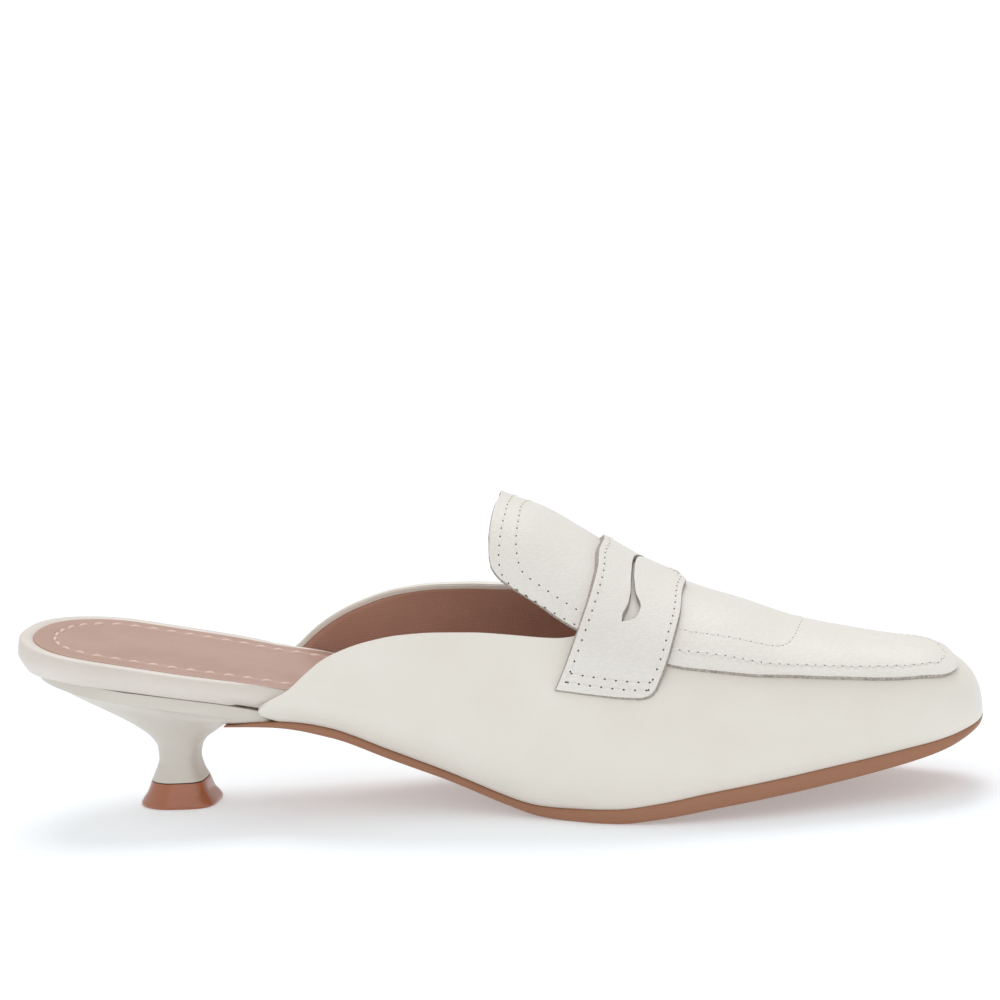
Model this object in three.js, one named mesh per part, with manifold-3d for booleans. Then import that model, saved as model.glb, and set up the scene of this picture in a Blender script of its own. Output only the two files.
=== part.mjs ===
// A left kitten-heel penny-loafer mule, standing empty on its top piece and the ball of its sole.
// Millimetres, +Z up, toe towards +X, inner (medial) side of the foot towards -Y.
// Stations are measured from the back of the heel seat; the finished group is then moved so that
// its origin is the bottom centre of the whole shoe.
import * as THREE from 'three';
import { mergeVertices } from 'three/addons/utils/BufferGeometryUtils.js';
import Module from 'manifold-3d';

const wasm = await Module();
wasm.setup();

// ---------- driving dimensions ----------
const shoeLength = 252.5;
const gap = 0.3; // clearance between pieces that touch in the real shoe
const upperWall = 1.8;
const apronThick = 1.2;
const strapThick = 1.3;
const sockThick = 1.0;
const featherInset = 0.6; // how far the upper's lower edge lies inside the sole's edge
const soleStart = 58.6; // the outsole begins just in front of the heel
const upperStart = 58;
const formStart = 50;
const toeStart = 236; // from here the toe closes as a rounded square
const toePower = 2.8;
const seatDepth = 26; // length of the rounded back of the seat
const seatPower = 2.3;
const noseY = -1;
const topPieceHigh = 6.5;

// Outsole: height of its underside and its thickness
const soleSide = [
  { x: 50, under: 25.6, thick: 1.5 },
  { x: 70, under: 24.3, thick: 1.8 },
  { x: 86, under: 20.5, thick: 2.8 },
  { x: 101, under: 14.2, thick: 2.8 },
  { x: 117, under: 8.1, thick: 2.6 },
  { x: 133, under: 2.4, thick: 2.6 },
  { x: 141, under: 0.5, thick: 3.0 },
  { x: 148, under: 0, thick: 3.4 },
  { x: 162, under: 0, thick: 3.9 },
  { x: 173, under: 1.2, thick: 4.2 },
  { x: 188, under: 3.4, thick: 4.5 },
  { x: 210, under: 6.2, thick: 4.5 },
  { x: 232, under: 9.6, thick: 4.0 },
  { x: 244, under: 12.5, thick: 3.1 },
  { x: 253, under: 16.2, thick: 1.7 },
];

// Outsole: half widths of its outline, before the toe is rounded off
const solePlan = [
  { x: 50, near: 24.5, far: 24.5 },
  { x: 66, near: 23, far: 23.5 },
  { x: 80, near: 20.8, far: 22 },
  { x: 100, near: 19.6, far: 22 },
  { x: 112, near: 20, far: 24 },
  { x: 125, near: 22.8, far: 28 },
  { x: 145, near: 31, far: 34.5 },
  { x: 160, near: 37, far: 37 },
  { x: 175, near: 39, far: 37 },
  { x: 190, near: 37.2, far: 34.8 },
  { x: 205, near: 33.2, far: 31 },
  { x: 220, near: 27.8, far: 26.2 },
  { x: 236, near: 21.8, far: 19.6 },
  { x: 253, near: 16.6, far: 13.4 },
];

// Last: widest half widths and their height, ridge height and side, and squareness of the section
const lastForm = [
  { x: 50, near: 28.4, far: 28.6, wideZ: 37, ridgeZ: 92, ridgeY: 0, square: 2.4 },
  { x: 66, near: 28.2, far: 28.6, wideZ: 36, ridgeZ: 91, ridgeY: 0, square: 2.4 },
  { x: 80, near: 28.6, far: 29.6, wideZ: 34, ridgeZ: 90, ridgeY: 0, square: 2.4 },
  { x: 100, near: 30.5, far: 31.5, wideZ: 30, ridgeZ: 88, ridgeY: -1, square: 2.3 },
  { x: 120, near: 33.8, far: 34.6, wideZ: 24, ridgeZ: 84, ridgeY: -2, square: 2.2 },
  { x: 132, near: 36, far: 36.2, wideZ: 20.5, ridgeZ: 78.2, ridgeY: -2, square: 2.25 },
  { x: 140, near: 37.4, far: 37.2, wideZ: 18.5, ridgeZ: 75.0, ridgeY: -2, square: 2.25 },
  { x: 150, near: 38.8, far: 38, wideZ: 16.5, ridgeZ: 68.9, ridgeY: -2.5, square: 2.2 },
  { x: 158, near: 39.6, far: 38.4, wideZ: 15.5, ridgeZ: 63.6, ridgeY: -3, square: 2.15 },
  { x: 166, near: 40.2, far: 38.5, wideZ: 15, ridgeZ: 58.7, ridgeY: -3, square: 2.1 },
  { x: 180, near: 40.2, far: 37.9, wideZ: 14.5, ridgeZ: 52.4, ridgeY: -3, square: 2.05 },
  { x: 190, near: 38.8, far: 36.2, wideZ: 14.8, ridgeZ: 48.7, ridgeY: -3, square: 2.15 },
  { x: 205, near: 34.8, far: 32.4, wideZ: 16, ridgeZ: 42.7, ridgeY: -3, square: 2.35 },
  { x: 220, near: 29.4, far: 27.6, wideZ: 17.6, ridgeZ: 39.1, ridgeY: -2.5, square: 2.5 },
  { x: 236, near: 23.2, far: 20.8, wideZ: 19.6, ridgeZ: 36.3, ridgeY: -1.5, square: 2.5 },
  { x: 253, near: 17.6, far: 14.2, wideZ: 22, ridgeZ: 32.8, ridgeY: -1, square: 2.4 },
];

// Topline in side view, inner side and outer side, from the rear wing to under the strap
const topline = [
  { nearX: 62, nearZ: 20, farX: 57, farZ: 20 },
  { nearX: 66.5, nearZ: 27.5, farX: 61.5, farZ: 30.5 },
  { nearX: 69.9, nearZ: 30.6, farX: 67.7, farZ: 36.1 },
  { nearX: 74.2, nearZ: 33.4, farX: 71.5, farZ: 39.5 },
  { nearX: 78.1, nearZ: 36, farX: 75.3, farZ: 42.3 },
  { nearX: 82.8, nearZ: 40, farX: 80.5, farZ: 45.2 },
  { nearX: 88, nearZ: 43.7, farX: 85.7, farZ: 47.4 },
  { nearX: 98.1, nearZ: 47.4, farX: 96, farZ: 50.3 },
  { nearX: 108, nearZ: 49.3, farX: 106.1, farZ: 51.2 },
  { nearX: 117.8, nearZ: 49.9, farX: 116, farZ: 51 },
  { nearX: 127.5, nearZ: 49.8, farX: 124, farZ: 50.4 },
  { nearX: 137, nearZ: 49.1, farX: 137, farZ: 50 },
  { nearX: 150, nearZ: 47.8, farX: 150, farZ: 49.5 },
  { nearX: 156, nearZ: 48.6, farX: 156, farZ: 50.4 },
  { nearX: 160, nearZ: 55, farX: 160, farZ: 55.5 },
  { nearX: 161.5, nearZ: 64, farX: 161.5, farZ: 64 },
  { nearX: 161.8, nearZ: 98, farX: 161.8, farZ: 98 },
  { nearX: 40, nearZ: 98, farX: 40, farZ: 98 },
  { nearX: 40, nearZ: 20, farX: 40, farZ: 20 },
];

// Footbed: seat height at its top face, half widths, how much narrower its underside is, and
// how far the sock's edge lies inside its rim
const footbedPlan = [
  { x: 0, near: 28, far: 28, tuck: 3.2, rim: 4.0 },
  { x: 26, near: 28, far: 28, tuck: 3.2, rim: 4.0 },
  { x: 45, near: 27.8, far: 28, tuck: 3.2, rim: 3.9 },
  { x: 56, near: 27, far: 27.2, tuck: 3.8, rim: 3.7 },
  { x: 62, near: 26.1, far: 26.3, tuck: 4.9, rim: 3.1 },
  { x: 68, near: 25.2, far: 25.4, tuck: 5.6, rim: 2.2 },
  { x: 80, near: 24, far: 24.8, tuck: 6.2, rim: 1.2 },
  { x: 100, near: 23.6, far: 25.6, tuck: 7.2, rim: 1.2 },
  { x: 125, near: 26.8, far: 30, tuck: 6.4, rim: 1.2 },
  { x: 145, near: 31.4, far: 33.4, tuck: 3.8, rim: 1.2 },
  { x: 160, near: 34.6, far: 34.2, tuck: 2.6, rim: 1.2 },
  { x: 175, near: 36, far: 34, tuck: 2.2, rim: 1.2 },
  { x: 190, near: 34.2, far: 31.8, tuck: 2.2, rim: 1.2 },
  { x: 205, near: 30.2, far: 28, tuck: 2.2, rim: 1.2 },
  { x: 220, near: 24.8, far: 23.2, tuck: 2.2, rim: 1.2 },
  { x: 236, near: 18.8, far: 16.6, tuck: 2.2, rim: 1.2 },
  { x: 250, near: 14, far: 12, tuck: 2.2, rim: 1.2 },
];

// Height of the sock's top face along the foot
const seatSide = [
  { x: 0, seat: 48.9 },
  { x: 11, seat: 46.8 },
  { x: 30, seat: 43.2 },
  { x: 48, seat: 39.8 },
  { x: 64, seat: 36.9 },
  { x: 77, seat: 34.4 },
  { x: 90, seat: 29.8 },
  { x: 100, seat: 25.4 },
  { x: 120, seat: 16.4 },
  { x: 133, seat: 11.4 },
  { x: 145, seat: 8.7 },
  { x: 157, seat: 8.2 },
  { x: 180, seat: 10.6 },
  { x: 200, seat: 13.4 },
  { x: 220, seat: 15.8 },
  { x: 236, seat: 18.2 },
  { x: 250, seat: 22 },
];

// Crease under the seat's rim, where the heel's cover meets the footbed
const creaseSide = [
  { x: 0, crease: 37.0 },
  { x: 5, crease: 37.6 },
  { x: 12, crease: 38.6 },
  { x: 20, crease: 37.8 },
  { x: 31, crease: 36.1 },
  { x: 46, crease: 33.6 },
  { x: 58, crease: 31.5 },
];

// Heel: back and front of each ring in side view, and its half width
const heelRings = [
  { backX: 32.0, backZ: 6.8, frontX: 46.9, frontZ: 6.8, half: 7.0 },
  { backX: 33.3, backZ: 9.4, frontX: 45.8, frontZ: 9.4, half: 6.1 },
  { backX: 34.4, backZ: 12.6, frontX: 45.3, frontZ: 12.4, half: 5.5 },
  { backX: 34.3, backZ: 15.6, frontX: 46.0, frontZ: 15.4, half: 5.6 },
  { backX: 32.6, backZ: 18.6, frontX: 48.2, frontZ: 18.0, half: 6.6 },
  { backX: 28.1, backZ: 22.3, frontX: 51.2, frontZ: 20.0, half: 8.6 },
  { backX: 20.7, backZ: 26.8, frontX: 54.6, frontZ: 22.3, half: 11.6 },
  { backX: 12.4, backZ: 31.4, frontX: 57.0, frontZ: 25.0, half: 15.0 },
  { backX: 6.8, backZ: 35.1, frontX: 58.2, frontZ: 28.2, half: 19.4 },
  { backX: 4.0, backZ: 37.1, frontX: 58.2, frontZ: 31.3, half: 24.6 },
];

// Top piece: the same columns for level rings
const topPieceRings = [
  { backX: 29.3, backZ: 0, frontX: 49.1, frontZ: 0, half: 8.7 },
  { backX: 28.6, backZ: 0.7, frontX: 49.8, frontZ: 0.7, half: 9.2 },
  { backX: 30.4, backZ: 3.4, frontX: 48.1, frontZ: 3.4, half: 7.9 },
  { backX: 31.9, backZ: topPieceHigh, frontX: 47.0, frontZ: topPieceHigh, half: 7.0 },
];

// Apron and tongue in one: edge seen from above, from the tongue's end to the apron's front
const apronEdge = [
  { x: 132.2, near: 20, far: 20 },
  { x: 132.8, near: 25.4, far: 25 },
  { x: 136, near: 28.2, far: 28 },
  { x: 144, near: 29.9, far: 29.4 },
  { x: 155, near: 31.6, far: 30.6 },
  { x: 168, near: 32.2, far: 30.8 },
  { x: 184, near: 31.4, far: 29 },
  { x: 200, near: 29.8, far: 26.4 },
  { x: 214, near: 26.3, far: 23 },
  { x: 226, near: 22.8, far: 18.4 },
  { x: 234, near: 19.9, far: 13.4 },
  { x: 240, near: 17.2, far: 8 },
  { x: 244, near: 14.6, far: 1 },
  { x: 246.4, near: 10.6, far: -5 },
];

// Saddle strap in side view: rear edge upwards, then front edge downwards
const strapSide = [
  { x: 148.4, z: 34.8 },
  { x: 152.2, z: 43.9 },
  { x: 156.4, z: 53.5 },
  { x: 158.5, z: 59 },
  { x: 159.3, z: 64 },
  { x: 158.4, z: 80 },
  { x: 184, z: 80 },
  { x: 178.2, z: 57 },
  { x: 179, z: 50.8 },
  { x: 178, z: 45.6 },
  { x: 176.6, z: 41.8 },
  { x: 173.6, z: 33 },
];

// Penny slot in the strap, seen from above: centre line and half width, inner side to outer side
const pennySlot = [
  { x: 165.8, y: -31, half: 0 },
  { x: 167.6, y: -28.6, half: 1.4 },
  { x: 168.4, y: -25, half: 1.3 },
  { x: 167.5, y: -21.4, half: 0.8 },
  { x: 166.8, y: -12, half: 0.6 },
  { x: 166.8, y: 8, half: 0.6 },
  { x: 167.5, y: 17.4, half: 0.8 },
  { x: 168.4, y: 21, half: 1.3 },
  { x: 167.6, y: 24.6, half: 1.4 },
  { x: 165.8, y: 27, half: 0 },
];

// ---------- reading the tables ----------

// Smooth value of a column at x, by cubic pieces whose slopes come from the neighbouring rows
function at(rows, column, x) {
  const last = rows.length - 1;
  if (x <= rows[0].x) return rows[0][column];
  if (x >= rows[last].x) return rows[last][column];
  let i = 0;
  while (rows[i + 1].x < x) i += 1;
  const slope = (a, b) => (rows[b][column] - rows[a][column]) / (rows[b].x - rows[a].x);
  const here = slope(i, i + 1);
  const level = (s, t) => (s * t <= 0 ? 0 : 2 * s * t / (s + t));
  const m0 = i > 0 ? level(slope(i - 1, i), here) : here;
  const m1 = i + 1 < last ? level(here, slope(i + 1, i + 2)) : here;
  const span = rows[i + 1].x - rows[i].x;
  const t = (x - rows[i].x) / span;
  const a = rows[i][column];
  const b = rows[i + 1][column];
  return a * (1 + 2 * t) * (1 - t) ** 2 + m0 * span * t * (1 - t) ** 2
    + b * t * t * (3 - 2 * t) + m1 * span * t * t * (t - 1);
}

const soleTop = (x) => at(soleSide, 'under', x) + at(soleSide, 'thick', x);
const featherZ = (x) => soleTop(x) + gap;

// ---------- meshes from rings ----------

function toGeometry(points, faces) {
  const geometry = new THREE.BufferGeometry();
  const numbers = points.flatMap((point) => [point.x, point.y, point.z]);
  geometry.setAttribute('position', new THREE.Float32BufferAttribute(numbers, 3));
  geometry.setIndex(faces.flat());
  return geometry;
}

// Closed body through rings of equal count, each end closed by a fan or by a given cap
function loft(rings, cap) {
  const count = rings[0].length;
  const points = rings.flat();
  const faces = [];
  for (let r = 0; r + 1 < rings.length; r += 1) {
    for (let i = 0; i < count; i += 1) {
      const a = r * count + i;
      const b = r * count + (i + 1) % count;
      faces.push([a, a + count, b], [b, a + count, b + count]);
    }
  }
  const close = (start, flip) => {
    const ring = points.slice(start, start + count);
    if (cap) {
      for (const [i, j, k] of cap) {
        faces.push(flip ? [start + i, start + k, start + j] : [start + i, start + j, start + k]);
      }
      return;
    }
    const middle = ring.reduce((sum, point) => sum.add(point), new THREE.Vector3());
    points.push(middle.divideScalar(count));
    const hub = points.length - 1;
    for (let i = 0; i < count; i += 1) {
      const a = start + i;
      const b = start + (i + 1) % count;
      faces.push(flip ? [hub, b, a] : [hub, a, b]);
    }
  };
  close(0, false);
  close((rings.length - 1) * count, true);
  return toGeometry(points, faces);
}

function toManifold(geometry) {
  const merged = mergeVertices(geometry, 1e-5);
  const solid = new wasm.Manifold(new wasm.Mesh({
    numProp: 3,
    vertProperties: new Float32Array(merged.attributes.position.array),
    triVerts: new Uint32Array(merged.index.array),
  }));
  if (solid.volume() > 0) return solid;
  return toManifold(turnedOver(merged));
}

function turnedOver(geometry) {
  const turned = geometry.clone();
  const index = turned.index.array;
  for (let i = 0; i < index.length; i += 3) [index[i + 1], index[i + 2]] = [index[i + 2], index[i + 1]];
  return turned;
}

function fromManifold(solid) {
  const mesh = solid.getMesh();
  const geometry = new THREE.BufferGeometry();
  geometry.setAttribute('position', new THREE.Float32BufferAttribute(mesh.vertProperties, 3));
  geometry.setIndex(Array.from(mesh.triVerts));
  return geometry;
}

// Cap of strips that run straight across a ring whose two halves mirror each other
function crossCap(count) {
  const cap = [];
  for (let i = 0; i + 1 < count / 2; i += 1) {
    const j = count - 1 - i;
    cap.push([i, i + 1, j], [i + 1, j - 1, j]);
  }
  return cap;
}

// ---------- slabs with a foot-shaped outline ----------

// Stations along an outline whose ends may be rounded off: x, and how far the sides are drawn in
function stations({ start, end, rearDepth, rearPower, frontDepth, frontPower }, count, inset) {
  const list = [];
  const arcSteps = 9;
  const rear = rearDepth ? rearDepth - inset : 0;
  const front = frontDepth - inset;
  const from = start + inset;
  const to = end - inset;
  if (rearDepth) {
    for (let i = 0; i < arcSteps; i += 1) {
      const turn = Math.PI / 2 * (i + 0.35) / arcSteps;
      list.push({
        x: from + rear * (1 - Math.cos(turn) ** (2 / rearPower)),
        pull: Math.sin(turn) ** (2 / rearPower),
      });
    }
  }
  const middle = to - front - from - rear;
  for (let i = 0; i < count; i += 1) list.push({ x: from + rear + middle * i / count, pull: 1 });
  for (let i = 0; i < arcSteps; i += 1) {
    const turn = Math.PI / 2 * (i + 0.15) / (arcSteps - 0.6);
    list.push({
      x: to - front + front * Math.sin(turn) ** (2 / frontPower),
      pull: Math.cos(turn) ** (2 / frontPower),
    });
  }
  return list;
}

// Slab built from outlines at several levels; each level has an inset and a height at x
function slab(outline, count, widths, levels) {
  const rings = levels.map(({ inset, height }) => {
    const row = stations(outline, count, inset.plan);
    const side = (name, sign) => row.map(({ x, pull }) => {
      const half = (widths(x)[name] - inset.side(x)) * pull;
      const centre = noseY * (1 - pull) * (x > toeStart - 10 ? 1 : 0);
      return new THREE.Vector3(x, centre + sign * half, height(x));
    });
    return [...side('near', -1), ...side('far', 1).reverse()];
  });
  return loft(rings, crossCap(rings[0].length));
}

const even = (amount) => ({ plan: amount, side: () => amount });

function outsole() {
  const outline = {
    start: soleStart, end: shoeLength, rearDepth: 0, rearPower: 2, frontDepth: shoeLength - toeStart,
    frontPower: toePower,
  };
  const widths = (x) => ({ near: at(solePlan, 'near', x), far: at(solePlan, 'far', x) });
  const under = (x) => at(soleSide, 'under', x);
  const thick = (x) => at(soleSide, 'thick', x);
  return slab(outline, 26, widths, [
    { inset: even(1.0), height: under },
    { inset: even(0.25), height: (x) => under(x) + thick(x) * 0.22 },
    { inset: even(0), height: (x) => under(x) + thick(x) * 0.5 },
    { inset: even(0.15), height: soleTop },
  ]);
}

const footbedOutline = {
  start: 0, end: 247.6, rearDepth: seatDepth, rearPower: seatPower, frontDepth: 12, frontPower: 2.4,
};
const footbedWidths = (x) => ({ near: at(footbedPlan, 'near', x), far: at(footbedPlan, 'far', x) });

// Underside of the footbed: on the heel's crease at the seat, on the outsole from the shank forward
function footbedUnder(x) {
  const onHeel = at(creaseSide, 'crease', x);
  const onSole = featherZ(x);
  const share = THREE.MathUtils.smoothstep(x, 58.2, 62);
  return onHeel * (1 - share) + onSole * share;
}

function footbed(lowered = 0) {
  const top = (x) => at(seatSide, 'seat', x) - sockThick - gap;
  const under = (x) => footbedUnder(x) - lowered;
  const between = (share) => (x) => under(x) + (top(x) - under(x)) * share;
  const tuck = (x) => at(footbedPlan, 'tuck', x);
  return slab(footbedOutline, 30, footbedWidths, [
    { inset: { plan: 3.6, side: tuck }, height: under },
    { inset: { plan: 1.6, side: (x) => tuck(x) * 0.42 }, height: between(0.25) },
    { inset: even(0), height: between(0.6) },
    { inset: even(0.5), height: between(0.9) },
    { inset: even(1.8), height: top },
  ]);
}

function insole() {
  const seat = (x) => at(seatSide, 'seat', x);
  const rim = (x) => at(footbedPlan, 'rim', x);
  const outline = { ...footbedOutline, end: 246.6 };
  return slab(outline, 30, footbedWidths, [
    { inset: { plan: 4.2, side: rim }, height: (x) => seat(x) - sockThick },
    { inset: { plan: 4.1, side: (x) => rim(x) - 0.1 }, height: (x) => seat(x) - sockThick * 0.4 },
    { inset: { plan: 4.5, side: (x) => rim(x) + 0.3 }, height: seat },
  ]);
}

// ---------- heel and top piece ----------

const heelSteps = 36;
const breastPower = 4; // squareness of the heel's front half, seen from above
const roundPower = 1.9; // and of its back half

// D-shaped ring: round at the back, flat with soft corners at the breast
function heelRing({ backX, backZ, frontX, frontZ, half }, height) {
  const widest = backX + (frontX - backX) * 0.46;
  const ring = [];
  for (let i = 0; i < heelSteps; i += 1) {
    const turn = 2 * Math.PI * (i + 0.5) / heelSteps;
    const c = Math.cos(turn);
    const s = Math.sin(turn);
    const power = 2 / (c > 0 ? breastPower : roundPower);
    const reach = c > 0 ? frontX - widest : backX - widest;
    const x = widest + reach * Math.abs(c) ** power;
    const y = half * Math.sign(s) * Math.abs(s) ** power;
    const share = (x - backX) / (frontX - backX);
    ring.push(new THREE.Vector3(x, y, height ? height(x) : backZ + (frontZ - backZ) * share));
  }
  return ring;
}

function heel() {
  const last = heelRings.length - 1;
  const overCrease = (x) => at(creaseSide, 'crease', x) + 1;
  const rings = heelRings.map((row, index) => heelRing(row, index === last ? overCrease : null));
  const block = toManifold(loft(rings, crossCap(heelSteps)));
  return fromManifold(block.subtract(toManifold(footbed(gap))));
}

const heelTip = () => loft(topPieceRings.map((row) => heelRing(row)), crossCap(heelSteps));

// ---------- the last's form, and pieces cut from it ----------

const lowShare = 0.16; // share of a section that lies below its widest point, on each side
const lowTurn = THREE.MathUtils.degToRad(25); // how far the side is turned in at the feather edge

// Station on the last: s runs 0 to 1 along the foot and 1 to 2 round the toe
function lastStation(s) {
  if (s <= 1) return { x: formStart + (toeStart - formStart) * s, pull: 1 };
  const turn = Math.PI / 2 * (s - 1);
  return {
    x: toeStart + (shoeLength - toeStart) * Math.sin(turn) ** (2 / toePower),
    pull: Math.cos(turn) ** (2 / toePower),
  };
}

function stationOf(x) {
  if (x <= toeStart) return (x - formStart) / (toeStart - formStart);
  const share = (x - toeStart) / (shoeLength - toeStart);
  return 1 + Math.asin(share ** (toePower / 2)) * 2 / Math.PI;
}

// Point on the last: v runs 0 to 1 from the inner feather edge over the ridge to the outer one
function lastPoint(s, v) {
  const { x, pull } = lastStation(s);
  const floor = featherZ(x);
  const ridgeY = at(lastForm, 'ridgeY', x);
  const wideZ = at(lastForm, 'wideZ', x);
  const inner = v < 0.5;
  const wide = at(lastForm, inner ? 'near' : 'far', x);
  const sign = inner ? -1 : 1;
  const fromEdge = inner ? v : 1 - v;
  let y;
  let z;
  if (fromEdge < lowShare) {
    const foot = at(solePlan, inner ? 'near' : 'far', x) - featherInset;
    const turn = lowTurn + (Math.PI / 2 - lowTurn) * fromEdge / lowShare;
    const out = (Math.sin(turn) - Math.sin(lowTurn)) / (1 - Math.sin(lowTurn));
    y = sign * (foot + (wide - foot) * out);
    z = floor + (wideZ - floor) * (1 - Math.cos(turn) / Math.cos(lowTurn));
  } else {
    const power = 2 / at(lastForm, 'square', x);
    const turn = Math.PI / 2 * (fromEdge - lowShare) / (0.5 - lowShare);
    const reach = wide - sign * ridgeY;
    y = ridgeY + sign * reach * Math.cos(turn) ** power;
    z = wideZ + (at(lastForm, 'ridgeZ', x) - wideZ) * Math.sin(turn) ** power;
  }
  return new THREE.Vector3(x, noseY + (y - noseY) * pull, floor + (z - floor) * pull);
}

function lastNormal(s, v) {
  const step = 0.002;
  const sideStep = 0.006;
  const along = lastPoint(Math.min(s + step, 1.995), v).sub(lastPoint(s - step, v));
  const round = lastPoint(s, Math.min(v + sideStep, 1)).sub(lastPoint(s, Math.max(v - sideStep, 0)));
  return along.cross(round).normalize();
}

// Closed body that follows the last at an offset; drop lowers its underside below the feather edge
function formBody({ from, offset, drop }) {
  const alongSteps = 26;
  const toeSteps = 9;
  const first = stationOf(from);
  const rows = [];
  for (let i = 0; i < alongSteps; i += 1) rows.push(first + (1 - first) * i / alongSteps);
  for (let i = 0; i <= toeSteps; i += 1) rows.push(1.03 + 0.94 * i / toeSteps);
  const lowSteps = 4;
  const topSteps = 20;
  const around = [];
  for (let i = 0; i < lowSteps; i += 1) around.push(lowShare * i / lowSteps);
  for (let i = 0; i <= topSteps; i += 1) around.push(lowShare + (1 - 2 * lowShare) * i / topSteps);
  for (let i = lowSteps - 1; i >= 0; i -= 1) around.push(1 - lowShare * i / lowSteps);
  const rings = rows.map((s) => {
    const ring = around.map((v) => {
      const point = lastPoint(s, v);
      return point.addScaledVector(lastNormal(s, v), offset(point));
    });
    if (drop) {
      const { x, pull } = lastStation(s);
      const under = featherZ(x) - drop;
      const lip = 2.2;
      const side = (name, sign) => {
        const half = Math.max(at(solePlan, name, x) - featherInset - lip, 0.5);
        return new THREE.Vector3(ring[0].x, noseY + (sign * half - noseY) * pull, under);
      };
      ring.push(side('far', 1), side('near', -1));
    }
    return ring;
  });
  return toManifold(loft(rings));
}

const level = (distance) => () => distance;

// Everything above the topline, as a block ruled between an inner and an outer profile
function collarBlock(lift) {
  const halfReach = 30; // where the two profiles were measured, each side of the middle
  const edge = 70;
  const profile = (y) => topline.map(({ nearX, nearZ, farX, farZ }) => {
    const share = (y + halfReach) / (2 * halfReach);
    return new THREE.Vector3(nearX + (farX - nearX) * share, y, nearZ + (farZ - nearZ) * share + lift);
  });
  const flat = topline.map(({ nearX, nearZ }) => new THREE.Vector2(nearX, nearZ));
  const cap = THREE.ShapeUtils.triangulateShape(flat, []);
  return toManifold(loft([profile(-edge), profile(edge)], cap));
}

// Hollow wall between two forms, below the topline; clear makes it that much fatter all round
function upperShell(clear) {
  const outer = formBody({ from: upperStart - clear, offset: level(clear), drop: 0 });
  const inner = formBody({ from: formStart + 1, offset: level(-upperWall - clear), drop: 6 });
  return outer.subtract(inner).subtract(collarBlock(clear));
}

const upper = () => fromManifold(upperShell(0));

// What lies in the shoe is trimmed to fit between the upper's walls
const fitInside = (geometry) => fromManifold(toManifold(geometry).subtract(upperShell(gap)));

// Body whose walls stand square to the last along an edge given from above
function edgeCutter(edge) {
  const reach = 6;
  const onLast = ({ x, y }) => {
    const s = stationOf(x);
    let low = lowShare;
    let high = 1 - lowShare;
    for (let i = 0; i < 30; i += 1) {
      const v = (low + high) / 2;
      if (lastPoint(s, v).y < y) low = v;
      else high = v;
    }
    return { point: lastPoint(s, low), normal: lastNormal(s, low) };
  };
  const spots = edge.map(onLast);
  const inside = spots.map(({ point, normal }) => point.clone().addScaledVector(normal, -reach));
  const outside = spots.map(({ point, normal }) => point.clone().addScaledVector(normal, reach));
  const count = edge.length;
  const points = [...inside, ...outside];
  const middle = inside.reduce((sum, point) => sum.add(point), new THREE.Vector3()).divideScalar(count);
  points.push(new THREE.Vector3(middle.x, 0, -20), new THREE.Vector3(middle.x, 0, 150));
  const faces = [];
  for (let i = 0; i < count; i += 1) {
    const j = (i + 1) % count;
    faces.push([i, j, i + count], [j, j + count, i + count]);
    faces.push([2 * count, j, i], [2 * count + 1, i + count, j + count]);
  }
  return toManifold(toGeometry(points, faces));
}

// Apron and tongue: one sheet between two forms, inside its own edge
function apron() {
  const side = (name, sign) => apronEdge.map((row) => new THREE.Vector3(row.x, sign * row[name], 0));
  const outline = [...side('near', -1), ...side('far', 1).reverse()];
  const curve = new THREE.CatmullRomCurve3(outline, true, 'centripetal');
  const edge = curve.getSpacedPoints(90).slice(0, 90);
  const over = formBody({ from: 118, offset: level(gap + apronThick), drop: 0 });
  const under = formBody({ from: 112, offset: level(gap), drop: 3 });
  return fromManifold(over.intersect(edgeCutter(edge)).subtract(under));
}

// The strap lies on the apron in the middle and comes down onto the upper at its two ends
function strapRise(point) {
  const side = Math.abs(point.y);
  return gap + (apronThick + gap) * (1 - THREE.MathUtils.smoothstep(side, 33, 36.5));
}

// Straight block under a flat outline; the bevel-less extrusion runs along Z
function prism(outline, depth) {
  const block = new THREE.ExtrudeGeometry(new THREE.Shape(outline), { depth, bevelEnabled: false });
  block.deleteAttribute('normal');
  block.deleteAttribute('uv');
  return block;
}

function saddleStrap() {
  const over = formBody({ from: 140, offset: (point) => strapRise(point) + strapThick, drop: 0 });
  const under = formBody({ from: 134, offset: strapRise, drop: 3 });
  const depth = 120;
  const band = prism(strapSide.map(({ x, z }) => new THREE.Vector2(x, z)), depth);
  band.rotateX(Math.PI / 2);
  band.translate(0, depth / 2, 0);
  const rear = pennySlot.map(({ x, y, half }) => new THREE.Vector2(x - half, y));
  const front = pennySlot.slice(1, -1).map(({ x, y, half }) => new THREE.Vector2(x + half, y));
  const slot = prism([...rear, ...front.reverse()], depth);
  return fromManifold(over.intersect(toManifold(band)).subtract(under).subtract(toManifold(slot)));
}

// ---------- the shoe ----------

const creamLeather = { color: 0xe3ddd2, roughness: 0.5, metalness: 0 };
const printLeather = { color: 0xe6e2d8, roughness: 0.55, metalness: 0 };
const sockLeather = { color: 0xc2a399, roughness: 0.6, metalness: 0 };
const tanSole = { color: 0x9e7662, roughness: 0.45, metalness: 0 };
const tanTopPiece = { color: 0xa16a56, roughness: 0.25, metalness: 0 };

const shoe = new THREE.Group();

function addPiece(name, geometry, finish) {
  const solid = fromManifold(toManifold(geometry));
  const mesh = new THREE.Mesh(solid, new THREE.MeshStandardMaterial(finish));
  mesh.name = name;
  shoe.add(mesh);
}

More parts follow.
